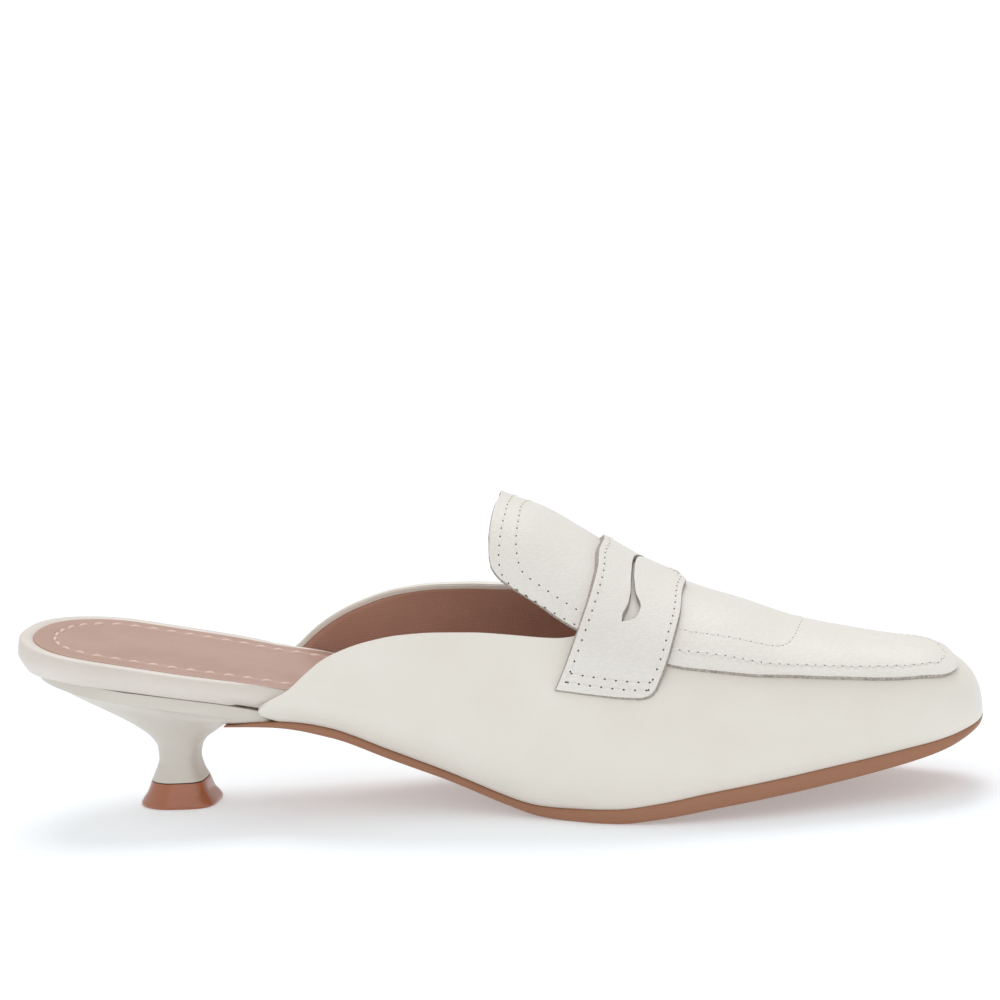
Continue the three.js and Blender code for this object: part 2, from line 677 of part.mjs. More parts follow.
addPiece('outsole', outsole(), tanSole);
addPiece('heel', heel(), creamLeather);
addPiece('heel_tip', heelTip(), tanTopPiece);
addPiece('footbed', fitInside(footbed()), creamLeather);
addPiece('insole', fitInside(insole()), sockLeather);
addPiece('upper', upper(), creamLeather);
addPiece('apron_tongue', apron(), printLeather);
addPiece('saddle_strap', saddleStrap(), printLeather);

const bounds = new THREE.Box3().setFromObject(shoe);
const centre = bounds.getCenter(new THREE.Vector3());
shoe.position.set(-centre.x, -centre.y, -bounds.min.z);

export default shoe;
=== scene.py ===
# Left kitten-heel penny mule in off-white leather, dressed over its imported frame.
# Sizes are millimetres on the shoe: x from the back of the heel seat towards the toe,
# y across it with the inner side negative, z up from the floor.
import math
from functools import lru_cache

import bpy
from mathutils import Matrix, Vector


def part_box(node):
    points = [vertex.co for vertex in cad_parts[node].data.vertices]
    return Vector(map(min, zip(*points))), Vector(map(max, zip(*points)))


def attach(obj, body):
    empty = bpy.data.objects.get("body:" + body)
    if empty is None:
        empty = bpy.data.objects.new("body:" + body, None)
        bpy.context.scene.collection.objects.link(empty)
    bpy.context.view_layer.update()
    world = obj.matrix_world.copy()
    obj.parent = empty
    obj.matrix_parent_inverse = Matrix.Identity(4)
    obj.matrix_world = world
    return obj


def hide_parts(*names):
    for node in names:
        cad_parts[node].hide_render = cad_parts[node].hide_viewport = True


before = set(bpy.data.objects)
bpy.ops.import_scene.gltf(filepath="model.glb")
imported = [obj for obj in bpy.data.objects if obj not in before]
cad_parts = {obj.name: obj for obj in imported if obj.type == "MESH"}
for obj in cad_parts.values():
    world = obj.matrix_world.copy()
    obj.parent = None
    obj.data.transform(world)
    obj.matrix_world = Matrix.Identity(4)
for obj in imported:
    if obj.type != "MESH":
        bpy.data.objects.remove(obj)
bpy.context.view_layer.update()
mm = 0.001
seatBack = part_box("footbed")[0].x / mm
tipLow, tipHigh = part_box("heel_tip")
middleY = (tipLow.y + tipHigh.y) / 2 / mm


def placed(x, y, z):
    return Vector(((seatBack + x) * mm, (middleY + y) * mm, z * mm))


# camera
camera = {"turn": 10.6, "down": 9.5, "roll": 4.05, "distance": 1100, "lens": 152.9, "aim": (131, 0, 78.0)}


def addCamera():
    turn, down, roll = (math.radians(camera[k]) for k in ("turn", "down", "roll"))
    ahead = Vector((-math.sin(turn) * math.cos(down), math.cos(turn) * math.cos(down), -math.sin(down)))
    right = Vector((math.cos(turn), math.sin(turn), 0))
    up = right.cross(ahead)
    rightRolled = right * math.cos(roll) - up * math.sin(roll)
    upRolled = right * math.sin(roll) + up * math.cos(roll)
    at = placed(*camera["aim"]) - ahead * camera["distance"] * mm
    bpy.ops.object.camera_add()
    eye = bpy.context.object
    eye.matrix_world = Matrix((rightRolled, upRolled, -ahead)).transposed().to_4x4()
    eye.location = at
    eye.data.lens = camera["lens"]
    eye.data.sensor_width = 36
    eye.data.clip_start = 0.05
    eye.data.clip_end = 50
    bpy.context.scene.camera = eye


addCamera()
print("camera placed")


# colours and shader nodes
def linear(hexValue):
    channels = []
    for i in (0, 2, 4):
        c = int(hexValue[i:i + 2], 16) / 255
        channels.append(c / 12.92 if c <= 0.04045 else ((c + 0.055) / 1.055) ** 2.4)
    return (*channels, 1)


def addNode(tree, kind, settings=None, links=None):
    node = tree.nodes.new("ShaderNode" + kind)
    for name, value in (settings or {}).items():
        if isinstance(name, str) and hasattr(node, name):
            setattr(node, name, value)
        else:
            node.inputs[name].default_value = value
    for name, source in (links or {}).items():
        tree.links.new(source, node.inputs[name])
    return node


def startMaterial(name, look):
    material = bpy.data.materials.new(name)
    material.use_nodes = True
    tree = material.node_tree
    shader = tree.nodes["Principled BSDF"]
    for socket, value in look.items():
        shader.inputs[socket].default_value = value
    return material, tree, shader


def mixed(tree, pale, deep, share):
    return addNode(tree, "Mix", {"data_type": "RGBA", 6: linear(pale), 7: linear(deep)}, {0: share})


def darkened(tree, colour, share):
    return addNode(tree, "Mix", {"data_type": "RGBA", "blend_type": "MULTIPLY", 0: 1.0},
                   {6: colour, 7: share})


def noise(tree, where, sizeMm, detail, rough=0.5):
    return addNode(tree, "TexNoise", {"Scale": 1000 / sizeMm, "Detail": detail, "Roughness": rough},
                   {"Vector": where})


def bumped(tree, strength, depthMm, height, under=None):
    links = {"Height": height}
    if under:
        links["Normal"] = under.outputs[0]
    return addNode(tree, "Bump", {"Strength": strength, "Distance": depthMm * mm}, links)


def dress(tree, shader, colour, bump):
    tree.links.new(colour, shader.inputs["Base Color"])
    tree.links.new(bump.outputs[0], shader.inputs["Normal"])


# the last: tables of the shoe's form, as in the frame
shoeLength = 252.5
formStart = 50
toeStart = 236
toePower = 2.8
noseY = -1
lowShare = 0.16  # share of a section below its widest point
lowTurn = math.radians(25)
soleSide = [  # x, underside, thickness
    (50, 25.6, 1.5), (70, 24.3, 1.8), (86, 20.5, 2.8), (101, 14.2, 2.8), (117, 8.1, 2.6), (133, 2.4, 2.6),
    (141, 0.5, 3.0), (148, 0, 3.4), (162, 0, 3.9), (173, 1.2, 4.2), (188, 3.4, 4.5), (210, 6.2, 4.5),
    (232, 9.6, 4.0), (244, 12.5, 3.1), (253, 16.2, 1.7)]
solePlan = [  # x, inner half width, outer half width
    (50, 24.5, 24.5), (66, 23, 23.5), (80, 20.8, 22), (100, 19.6, 22), (112, 20, 24), (125, 22.8, 28),
    (145, 31, 34.5), (160, 37, 37), (175, 39, 37), (190, 37.2, 34.8), (205, 33.2, 31), (220, 27.8, 26.2),
    (236, 21.8, 19.6), (253, 16.6, 13.4)]
# x, inner and outer half width, height of the widest point, ridge height, ridge side, squareness
lastForm = [
    (50, 28.4, 28.6, 37, 92, 0, 2.4), (66, 28.2, 28.6, 36, 91, 0, 2.4), (80, 28.6, 29.6, 34, 90, 0, 2.4),
    (100, 30.5, 31.5, 30, 88, -1, 2.3), (120, 33.8, 34.6, 24, 84, -2, 2.2),
    (132, 36, 36.2, 20.5, 78.2, -2, 2.25), (140, 37.4, 37.2, 18.5, 75.0, -2, 2.25),
    (150, 38.8, 38, 16.5, 68.9, -2.5, 2.2), (158, 39.6, 38.4, 15.5, 63.6, -3, 2.15),
    (166, 40.2, 38.5, 15, 58.7, -3, 2.1), (180, 40.2, 37.9, 14.5, 52.4, -3, 2.05),
    (190, 38.8, 36.2, 14.8, 48.7, -3, 2.15), (205, 34.8, 32.4, 16, 42.7, -3, 2.35),
    (220, 29.4, 27.6, 17.6, 39.1, -2.5, 2.5), (236, 23.2, 20.8, 19.6, 36.3, -1.5, 2.5),
    (253, 17.6, 14.2, 22, 32.8, -1, 2.4)]


def smoothAt(rows, column, x):
    last = len(rows) - 1
    if x <= rows[0][0]:
        return rows[0][column]
    if x >= rows[last][0]:
        return rows[last][column]
    i = 0
    while rows[i + 1][0] < x:
        i += 1

    def slope(a, b):
        return (rows[b][column] - rows[a][column]) / (rows[b][0] - rows[a][0])

    def level(p, q):
        return 0 if p * q <= 0 else 2 * p * q / (p + q)

    here = slope(i, i + 1)
    m0 = level(slope(i - 1, i), here) if i > 0 else here
    m1 = level(here, slope(i + 1, i + 2)) if i + 1 < last else here
    span = rows[i + 1][0] - rows[i][0]
    t = (x - rows[i][0]) / span
    a = rows[i][column]
    b = rows[i + 1][column]
    return (a * (1 + 2 * t) * (1 - t) ** 2 + m0 * span * t * (1 - t) ** 2
            + b * t * t * (3 - 2 * t) + m1 * span * t * t * (t - 1))


def eased(x, low, high):
    t = min(max((x - low) / (high - low), 0), 1)
    return t * t * (3 - 2 * t)


def soleTop(x):
    return smoothAt(soleSide, 1, x) + smoothAt(soleSide, 2, x)


def featherZ(x):
    return soleTop(x) + 0.3


@lru_cache(maxsize=None)
def section(s):
    if s <= 1:
        x = formStart + (toeStart - formStart) * s
        pull = 1
    else:
        turn = math.pi / 2 * (min(s, 2) - 1)
        x = toeStart + (shoeLength - toeStart) * math.sin(turn) ** (2 / toePower)
        pull = max(math.cos(turn), 0) ** (2 / toePower)
    foot = [smoothAt(solePlan, 1, x) - 0.6, smoothAt(solePlan, 2, x) - 0.6]
    form = [smoothAt(lastForm, column, x) for column in range(1, 7)]
    return x, pull, featherZ(x), foot, form


def stationOf(x):
    if x <= toeStart:
        return (x - formStart) / (toeStart - formStart)
    share = min((x - toeStart) / (shoeLength - toeStart), 1)
    return 1 + math.asin(share ** (toePower / 2)) * 2 / math.pi


def lastPoint(s, v):
    # v runs 0 to 1 from the inner feather edge over the ridge to the outer one
    x, pull, floor, foot, form = section(s)
    nearWide, farWide, wideZ, ridgeZ, ridgeY, square = form
    inner = v < 0.5
    wide = nearWide if inner else farWide
    sign = -1 if inner else 1
    fromEdge = v if inner else 1 - v
    if fromEdge < lowShare:
        turn = lowTurn + (math.pi / 2 - lowTurn) * fromEdge / lowShare
        out = (math.sin(turn) - math.sin(lowTurn)) / (1 - math.sin(lowTurn))
        under = foot[0 if inner else 1]
        y = sign * (under + (wide - under) * out)
        z = floor + (wideZ - floor) * (1 - math.cos(turn) / math.cos(lowTurn))
    else:
        turn = min(math.pi / 2 * (fromEdge - lowShare) / (0.5 - lowShare), math.pi / 2)
        y = ridgeY + sign * (wide - sign * ridgeY) * max(math.cos(turn), 0) ** (2 / square)
        z = wideZ + (ridgeZ - wideZ) * math.sin(turn) ** (2 / square)
    return Vector((x, noseY + (y - noseY) * pull, floor + (z - floor) * pull))


def lastNormal(s, v):
    along = lastPoint(min(s + 0.002, 1.995), v) - lastPoint(min(s, 1.995) - 0.002, v)
    around = lastPoint(s, min(v + 0.006, 1)) - lastPoint(s, max(v - 0.006, 0))
    return along.cross(around).normalized()


def sideAt(s, axis, target, low, high):
    for _ in range(26):
        v = (low + high) / 2
        if lastPoint(s, v)[axis] < target:
            low = v
        else:
            high = v
    return low


def sideAtHeight(s, z):
    return sideAt(s, 2, z, 0.0, 0.5)


def sideAtWidth(s, y):
    return sideAt(s, 1, y, lowShare, 1 - lowShare)


# soft creases on the last: side, start and end as x and z, half width, depth (a ridge if below 0)
creases = [
    (-1, (168, 31), (196, 24), 6.0, 0.45), (-1, (190, 33), (218, 29), 4.5, -0.25),
    (-1, (100, 40), (112, 30), 5.0, 0.35), (-1, (118, 44), (124, 31), 4.5, -0.3),
    (-1, (136, 42), (146, 28), 6.0, 0.4), (-1, (205, 24), (232, 22), 5.0, 0.25),
    (1, (166, 32), (198, 25), 6.0, 0.4), (1, (108, 41), (120, 30), 5.0, 0.3),
    (1, (134, 40), (142, 27), 5.5, -0.25), (1, (204, 25), (228, 23), 5.0, 0.25)]


def creaseDepth(point):
    depth = 0
    for side, start, end, width, amount in creases:
        if point.y * side < 0:
            continue
        ax, az = start
        bx, bz = end
        length2 = (bx - ax) ** 2 + (bz - az) ** 2
        t = min(max(((point.x - ax) * (bx - ax) + (point.z - az) * (bz - az)) / length2, 0), 1)
        away2 = (point.x - ax - t * (bx - ax)) ** 2 + (point.z - az - t * (bz - az)) ** 2
        depth += amount * math.exp(-away2 / width ** 2)
    return depth


edgeDrop = 0.34  # the lower edge sits on the sole


def onLast(s, v, lift):
    point = lastPoint(s, v)
    fade = 1 if s < 1 else max(0, 2 - s)
    down = edgeDrop * (1 - eased(min(v, 1 - v), 0, 0.05))
    return point + lastNormal(s, v) * (lift - creaseDepth(point) * fade) - Vector((0, 0, down))


# mesh helpers
def clearSelection():
    bpy.ops.object.select_all(action="DESELECT")


def pick(piece):
    clearSelection()
    piece.select_set(True)
    bpy.context.view_layer.objects.active = piece


def gridPiece(name, columns, rows, place, closed=False, flip=False):
    # a grid whose points are set by place(column, row); a closed one joins its last column to its first
    clearSelection()
    bpy.ops.mesh.primitive_grid_add(x_subdivisions=columns, y_subdivisions=rows, size=1, location=(0, 0, 0))
    piece = bpy.context.object
    piece.name = name
    piece.data.name = name
    for vertex in piece.data.vertices:
        i = round((vertex.co.x + 0.5) * columns)
        j = round((vertex.co.y + 0.5) * rows)
        vertex.co = placed(*place(i % columns if closed else i, j))
    bpy.ops.object.mode_set(mode="EDIT")
    bpy.ops.mesh.select_all(action="SELECT")
    bpy.ops.mesh.remove_doubles(threshold=0.00001)
    if flip:
        bpy.ops.mesh.flip_normals()
    bpy.ops.object.mode_set(mode="OBJECT")
    bpy.ops.object.shade_smooth()
    return piece


def applied(piece, kind, settings):
    pick(piece)
    modifier = piece.modifiers.new(kind.lower(), kind)
    for name, value in settings.items():
        setattr(modifier, name, value)
    bpy.ops.object.modifier_apply(modifier=modifier.name)
    return piece


def thickened(piece, thick, rimSlot=0):
    return applied(piece, "SOLIDIFY", {"thickness": thick * mm, "offset": -1,
                                       "material_offset_rim": rimSlot})


def bevelled(piece, width, segments, degrees):
    return applied(piece, "BEVEL", {"width": width * mm, "segments": segments, "limit_method": "ANGLE",
                                    "angle_limit": math.radians(degrees)})


def smoothByAngle(piece, degrees=40):
    pick(piece)
    bpy.ops.object.shade_smooth_by_angle(angle=math.radians(degrees))


def finished(piece, slot, *nodes):
    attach(piece, "root")
    if nodes:
        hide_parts(*nodes)
    return piece


def outsideCheck(piece):
    # closed pieces: faces outwards
    pick(piece)
    bpy.ops.object.mode_set(mode="EDIT")
    bpy.ops.mesh.select_all(action="SELECT")
    bpy.ops.mesh.normals_make_consistent(inside=False)
    bpy.ops.object.mode_set(mode="OBJECT")


def closedPiece(piece, material, degrees, slot, node):
    piece.data.materials.append(material)
    outsideCheck(piece)
    smoothByAngle(piece, degrees)
    return finished(piece, slot, node)


def capEnds(piece):
    # one face over each open end
    pick(piece)
    bpy.ops.object.mode_set(mode="EDIT")
    for top in (False, True):
        bpy.ops.mesh.select_mode(type="VERT")
        bpy.ops.mesh.select_all(action="DESELECT")
        bpy.ops.object.mode_set(mode="OBJECT")
        middle = sum(vertex.co.z for vertex in piece.data.vertices) / len(piece.data.vertices)
        for vertex in piece.data.vertices:
            vertex.select = (vertex.co.z > middle) == top
        bpy.ops.object.mode_set(mode="EDIT")
        bpy.ops.mesh.edge_face_add()
    bpy.ops.object.mode_set(mode="OBJECT")


# leather and the other finishes
def coordinates(tree, scale=(1, 1, 1), turn=(0, 0, 0)):
    where = addNode(tree, "TexCoord")
    return addNode(tree, "Mapping", {"Scale": scale, "Rotation": turn},
                   {"Vector": where.outputs["Object"]}).outputs[0]


cloudMm = 22  # size of the hide's cloudy tone


def leather(name, pale, deep, grainMm, grainDepth, gloss, print_=None, wave=None):
    # pale and deep colour the tanned surface; grain is its pores,
    # print_ a pressed pattern and wave its soft unevenness
    look = {"Roughness": gloss, "Specular IOR Level": 0.45, "IOR": 1.48}
    material, tree, shader = startMaterial(name, look)
    where = coordinates(tree)
    cloud = noise(tree, where, cloudMm, 4, 0.6)
    ramp = addNode(tree, "MapRange", {"From Min": 0.3, "From Max": 0.8}, {"Value": cloud.outputs[0]})
    colour = mixed(tree, pale, deep, ramp.outputs[0]).outputs[2]
    pores = {"feature": "SMOOTH_F1", "Scale": 1000 / grainMm, "Smoothness": 0.6}
    grain = addNode(tree, "TexVoronoi", pores, {"Vector": where})
    bump = bumped(tree, 0.35, grainDepth, grain.outputs["Distance"])
    if print_:
        # small scales pressed into the hide, longer along the foot than across it
        warp = noise(tree, where, 3.0, 2)
        bent = addNode(tree, "Mix", {"data_type": "VECTOR", 0: 0.0012},
                       {4: where, 5: warp.outputs["Color"]})
        along = {"Scale": (0.36, 1.0, 1.0), "Rotation": (0, math.radians(-14), 0)}
        stretch = addNode(tree, "Mapping", along, {"Vector": bent.outputs[1]})
        edges = {"feature": "DISTANCE_TO_EDGE", "Scale": 1000 / print_["mm"]}
        scales = addNode(tree, "TexVoronoi", edges, {"Vector": stretch.outputs[0]})
        away = scales.outputs["Distance"]
        soft = {"From Min": 0.0, "From Max": 0.28, "interpolation_type": "SMOOTHSTEP"}
        rise = addNode(tree, "MapRange", soft, {"Value": away})
        bump = bumped(tree, print_["strength"], print_["depth"], rise.outputs[0], bump)
        depth = {"From Min": 0.0, "From Max": 0.12, "To Min": print_["dark"], "To Max": 1}
        groove = addNode(tree, "MapRange", depth, {"Value": away})
        colour = darkened(tree, colour, groove.outputs[0]).outputs[2]
    if wave:
        ripple = noise(tree, where, wave["mm"], 2)
        bump = bumped(tree, 0.5, wave["depth"], ripple.outputs[0], bump)
    sheen = addNode(tree, "MapRange", {"To Min": gloss - 0.06, "To Max": gloss + 0.08},
                    {"Value": cloud.outputs[0]})
    tree.links.new(sheen.outputs[0], shader.inputs["Roughness"])
    dress(tree, shader, colour, bump)
    return material


# aniline calf, plated smooth: an even warm off-white with a satin light and pores that hardly show
calf = leather("smooth_calf", "EAE5DB", "E4DED3", 0.7, 0.05, 0.42, wave={"mm": 16, "depth": 0.5})
# the same hide pressed with small scales: broken highlights, fine grooves
printed = leather("printed_calf", "EBE7E0", "E6E1D9", 0.6, 0.05, 0.45,
                  print_={"mm": 0.95, "strength": 0.34, "depth": 0.12, "dark": 0.95},
                  wave={"mm": 18, "depth": 0.4})
# thin glove leather pulled over the board's edge: smooth, soft ripples
wrap = leather("wrapped_kid", "E0D8CF", "D9D1C8", 0.6, 0.04, 0.45, wave={"mm": 9, "depth": 0.5})
# the same leather stretched round the heel block: tight, a little greyer
heelWrap = leather("heel_kid", "D8D2C8", "D2CBC1", 0.6, 0.03, 0.4)
# vegetable-tanned sock leather: pinkish tan, close pores, soft shine
sockTan = leather("sock_sheepskin", "BA9688", "AE8775", 0.5, 0.05, 0.42, wave={"mm": 7, "depth": 0.35})


def ribScale(sizeMm):
    return 1000 / (sizeMm * 6.283) * 3.1416


def liningTwill():
    # brushed twill: brown and matt, with fine ribs (coarser than the real thread so that they show)
    look = {"Roughness": 0.85, "Specular IOR Level": 0.2, "Sheen Weight": 0.15, "Sheen Roughness": 0.5}
    material, tree, shader = startMaterial("brown_twill", look)
    where = coordinates(tree)
    ribSize = {"bands_direction": "Z", "Scale": ribScale(0.9), "Distortion": 1.2,
               "Detail": 2, "Detail Scale": 3}
    ribs = addNode(tree, "TexWave", ribSize, {"Vector": where})
    turned = addNode(tree, "Mapping", {"Rotation": (0, math.radians(55), 0)}, {"Vector": where})
    crossSize = {"bands_direction": "X", "Scale": ribScale(0.7), "Distortion": 0.8}
    cross = addNode(tree, "TexWave", crossSize, {"Vector": turned.outputs[0]})
    both = addNode(tree, "Math", {"operation": "MULTIPLY"}, {0: ribs.outputs[1], 1: cross.outputs[1]})
    cloud = addNode(tree, "TexNoise", {"Scale": 60, "Detail": 4}, {"Vector": where})
    tint = mixed(tree, "B58471", "C99C88", cloud.outputs[0])
    thread = addNode(tree, "MapRange", {"To Min": 0.82, "To Max": 1.08}, {"Value": both.outputs[0]})
    dark = darkened(tree, tint.outputs[2], thread.outputs[0])
    bump = bumped(tree, 0.4, 0.1, both.outputs[0])
    dress(tree, shader, dark.outputs[2], bump)
    return material


def rawSuede():
    # cut edge of the hide: greyish beige fibres, quite matt, mottled at a fibre bundle's size
    material, tree, shader = startMaterial("raw_cut_edge", {"Roughness": 0.95, "Specular IOR Level": 0.1})
    where = coordinates(tree)
    fibre = noise(tree, where, 0.7, 5, 0.75)
    ramp = addNode(tree, "MapRange", {"From Min": 0.35, "From Max": 0.68}, {"Value": fibre.outputs[0]})
    tint = mixed(tree, "8C837A", "D2CAC1", ramp.outputs[0])
    bump = bumped(tree, 0.8, 0.25, fibre.outputs[0])
    dress(tree, shader, tint.outputs[2], bump)
    return material


def soleTan(name, base, deep, rough, coat):
    # leatherboard sole, edge inked tan: even colour with fine lengthwise fibres
    look = {"Roughness": rough, "Coat Weight": coat, "Coat Roughness": 0.15}
    material, tree, shader = startMaterial(name, look)
    where = coordinates(tree, (0.15, 0.6, 3))
    fibre = noise(tree, where, 1.4, 5, 0.65)
    tint = mixed(tree, base, deep, fibre.outputs[0])
    bump = bumped(tree, 0.25, 0.06, fibre.outputs[0])
    dress(tree, shader, tint.outputs[2], bump)
    return material


def threadMaterial(name, pale, deep):
    # bonded nylon thread: two twisted plies, slight silk
    material, tree, shader = startMaterial(name, {"Roughness": 0.5})
    where = coordinates(tree)
    ply = addNode(tree, "TexWave", {"bands_direction": "DIAGONAL", "Scale": 1000 / 0.5},
                  {"Vector": where})
    tint = mixed(tree, pale, deep, ply.outputs[1])
    tree.links.new(tint.outputs[2], shader.inputs["Base Color"])
    return material


twill = liningTwill()
rawEdge = rawSuede()
soleBoard = soleTan("inked_leatherboard", "A67458", "99694C", 0.5, 0.0)
topPoly = soleTan("polyurethane_top_piece", "AE6C4E", "A15F42", 0.24, 0.4)
whiteThread = threadMaterial("white_thread", "F1EEE8", "E2DDD4")
tanThread = threadMaterial("tan_thread", "EFD8CC", "DCBFB0")
# dark taupe for the dots set into the needle holes: painted shade inside the holes (mixed with the thread's
# ply pattern)
needleHoleShade = threadMaterial("needle_hole_shade", "5A5048", "4A4139")
print("finishes mixed")


# upper: vamp and both collars, its lining and the folded edge
topline = [  # inner x and z, outer x and z, from the rear wing to the ridge under the strap
    (73, 26, 70, 26), (71.0, 27.2, 66, 28.2), (68.4, 28.8, 61.8, 30.4), (68.8, 29.8, 62.8, 32.2),
    (70.8, 31.2, 67.7, 36.1), (74.6, 33.5, 71.5, 39.5), (78.1, 36.0, 75.3, 42.3), (82.8, 40.0, 80.5, 45.2),
    (88, 43.7, 85.7, 47.4), (98.1, 47.4, 96, 50.3), (108, 49.3, 106.1, 51.2), (117.8, 49.9, 116, 51.0),
    (127.5, 49.8, 124, 50.4), (137, 49.1, 137, 50.0), (150, 47.8, 150, 49.5), (156, 48.6, 156, 50.4),
    (160, 55, 160, 55.5), (161.5, 64, 161.5, 64)]
upperShape = {"wall": 1.7, "columns": 76, "rows": 96, "lining": 0.22, "foldWidth": 1.4, "foldThick": 0.3,
              "toeShare": 0.28}


def alongEdge(spots, share):
    # spots: (travel, v, s); gives v and s at a share of the travel
    target = spots[-1][0] * share
    k = next((i for i, spot in enumerate(spots) if spot[0] >= target), len(spots) - 1)
    a, b = spots[max(k - 1, 0)], spots[k]
    part = (target - a[0]) / (b[0] - a[0]) if b[0] > a[0] else 0
    return a[1] + (b[1] - a[1]) * part, a[2] + (b[2] - a[2]) * part


def toplineSide(side, drop, count):
    # evenly spaced points of the topline moved inwards by drop, as (v from the feather edge, s)
    rows = [(k, *(row[:2] if side < 0 else row[2:])) for k, row in enumerate(topline)]
    last = len(rows) - 1
    spots = []
    travelled = 0
    before = None
    for n in range(601):
        k = last * n / 600
        x, z = smoothAt(rows, 1, k), smoothAt(rows, 2, k)
        a, b = max(k - 0.05, 0), min(k + 0.05, last)
        dx, dz = smoothAt(rows, 1, b) - smoothAt(rows, 1, a), smoothAt(rows, 2, b) - smoothAt(rows, 2, a)
        length = math.hypot(dx, dz)
        if drop and dx <= 0:
            continue
        x, z = x + drop * dz / length, z - drop * dx / length
        s = stationOf(x)
        if z < featherZ(x) and not spots:
            continue
        ridge = lastPoint(s, 0.5).z
        v = 0.5 if z >= ridge else sideAtHeight(s, z)
        if before:
            travelled += math.hypot(x - before[0], z - before[1])
        before = (x, z)
        spots.append((travelled, max(v, spots[-1][1] if spots else 0), s))
        if v == 0.5:
            break
    spots[0] = (spots[0][0], 0.0, spots[0][2])
    spots[-1] = (spots[-1][0], 0.5, spots[-1][2])
    return [alongEdge(spots, n / count) for n in range(count + 1)]


def toplineAround(drop, count):
    near = toplineSide(-1, drop, count)
    far = toplineSide(1, drop, count)
    apex = (near[-1][1] + far[-1][1]) / 2
    return near[:-1] + [(0.5, apex)] + [(1 - v, s) for v, s in reversed(far[:-1])]


def formPiece(name, drop, lift):
    edge = toplineAround(drop, upperShape["columns"])
    rows = upperShape["rows"]
    toeShare = upperShape["toeShare"]

    def place(i, j):
        v, start = edge[i]
        t = j / rows
        if t < 1 - toeShare:
            s = start + (1 - start) * t / (1 - toeShare)
        else:
            s = 1 + 0.998 * math.sin((t - 1 + toeShare) / toeShare * math.pi / 2)
        return onLast(s, v, lift)

    return gridPiece(name, len(edge) - 1, rows, place, flip=True)


upper = formPiece("vamp_and_collars", 0, 0)
upper.data.materials.append(calf)
thickened(upper, upperShape["wall"])
bevelled(upper, 0.5, 3, 55)
smoothByAngle(upper, 50)
finished(upper, "upper_leather", "upper")

lining = formPiece("vamp_lining", upperShape["foldWidth"], -upperShape["wall"] - 0.03)
lining.data.materials.append(twill)
thickened(lining, upperShape["lining"])
finished(lining, "lining")


def foldBand():
    steps = [0.3, 0.6, 0.9, 1.15, upperShape["foldWidth"]]
    edges = [toplineAround(step, upperShape["columns"]) for step in steps]

    def place(i, j):
        v, s = edges[j][i]
        return onLast(s, v, -upperShape["wall"] - 0.02)

    band = gridPiece("collar_fold", len(edges[0]) - 1, len(steps) - 1, place, flip=True)
    band.data.materials.append(calf)
    thickened(band, upperShape["foldThick"])
    bevelled(band, 0.1, 2, 55)
    return finished(band, "upper_leather")


foldBand()
print("upper, lining and folded collar edge made")


cutEdge = {"bevel": 0.14, "segments": 2, "angle": 38}  # the raw edges of apron and strap


def cutSheet(sheet, thick, columns, rows, place):
    # pressed hide whose raw edge slopes: the underside, made last, reaches further out than the face
    sheet.data.materials.append(printed)
    sheet.data.materials.append(rawEdge)
    thickened(sheet, thick, 1)
    count = (columns + 1) * (rows + 1)
    for j in range(rows + 1):
        for i in range(columns + 1):
            if i in (0, columns) or j in (0, rows):
                sheet.data.vertices[count + j * (columns + 1) + i].co = placed(*place(i, j))


# apron and tongue
apronEdge = [  # x, inner and outer reach, seen from above
    (131.8, 20, 20), (132.3, 24.0, 24), (133, 25.9, 25.6), (136, 27.8, 27.5), (144, 29.8, 29.2),
    (155, 31.6, 30.6), (168, 32.2, 30.8), (178, 32.2, 30), (187.6, 31.6, 28.6), (196.5, 30.3, 27),
    (205, 28.1, 25), (214, 25.9, 22.6), (223, 23.3, 19.4), (231.5, 20.7, 15), (239, 18, 9.6),
    (243.6, 15.4, 3), (246.2, 11.8, -3), (246.9, 9.4, -5.4)]
apronStart = apronEdge[0][0]
apronEnd = apronEdge[-1][0]
apronShape = {"top": 1.15, "thick": 0.85, "columns": 64, "rows": 128, "slant": 0.16}
# the tongue's end: lift and curl up, the same backwards, the curl's place and half width
tongueEnd = {"lift": 0.3, "curl": 0.7, "back": 0.8, "curlBack": 1.2, "at": 7, "wide": 6}


def apronPoint(x, y, lift):
    s = stationOf(x)
    v = sideAtWidth(s, y)
    point = onLast(s, v, lift)
    rear = 1 - eased(x, 132, 139)  # the tongue's end lifts a little and curls beyond its middle
    curl = math.exp(-((y - tongueEnd["at"]) / tongueEnd["wide"]) ** 2) * rear
    point.z += rear * (tongueEnd["lift"] + tongueEnd["curl"] * curl)
    point.x -= rear * (tongueEnd["back"] + tongueEnd["curlBack"] * curl)
    return point


def apronSheet():
    rows = apronShape["rows"]
    columns = apronShape["columns"]

    def place(i, j, inset=apronShape["slant"], lift=apronShape["top"]):
        t = j / rows
        share = (1 - math.cos(math.pi * t)) / 2
        x = apronStart + (apronEnd - apronStart) * (0.6 * t + 0.4 * share)
        near, far = smoothAt(apronEdge, 1, x) - inset, smoothAt(apronEdge, 2, x) - inset
        x = apronStart + inset + (x - apronStart) * (1 - 2 * inset / (apronEnd - apronStart))
        u = i / columns
        u = 0.8 * u + 0.2 * (1 - math.cos(math.pi * u)) / 2
        return apronPoint(x, -near + (near + far) * u, lift)

    sheet = gridPiece("apron_and_tongue", columns, rows, place, flip=True)
    cutSheet(sheet, apronShape["thick"], columns, rows, lambda i, j: place(i, j, 0, 0.1))
    bevelled(sheet, cutEdge["bevel"], cutEdge["segments"], cutEdge["angle"])
    smoothByAngle(sheet, 50)
    return finished(sheet, "print_leather", "apron_tongue")


apronSheet()
print("apron and tongue made")


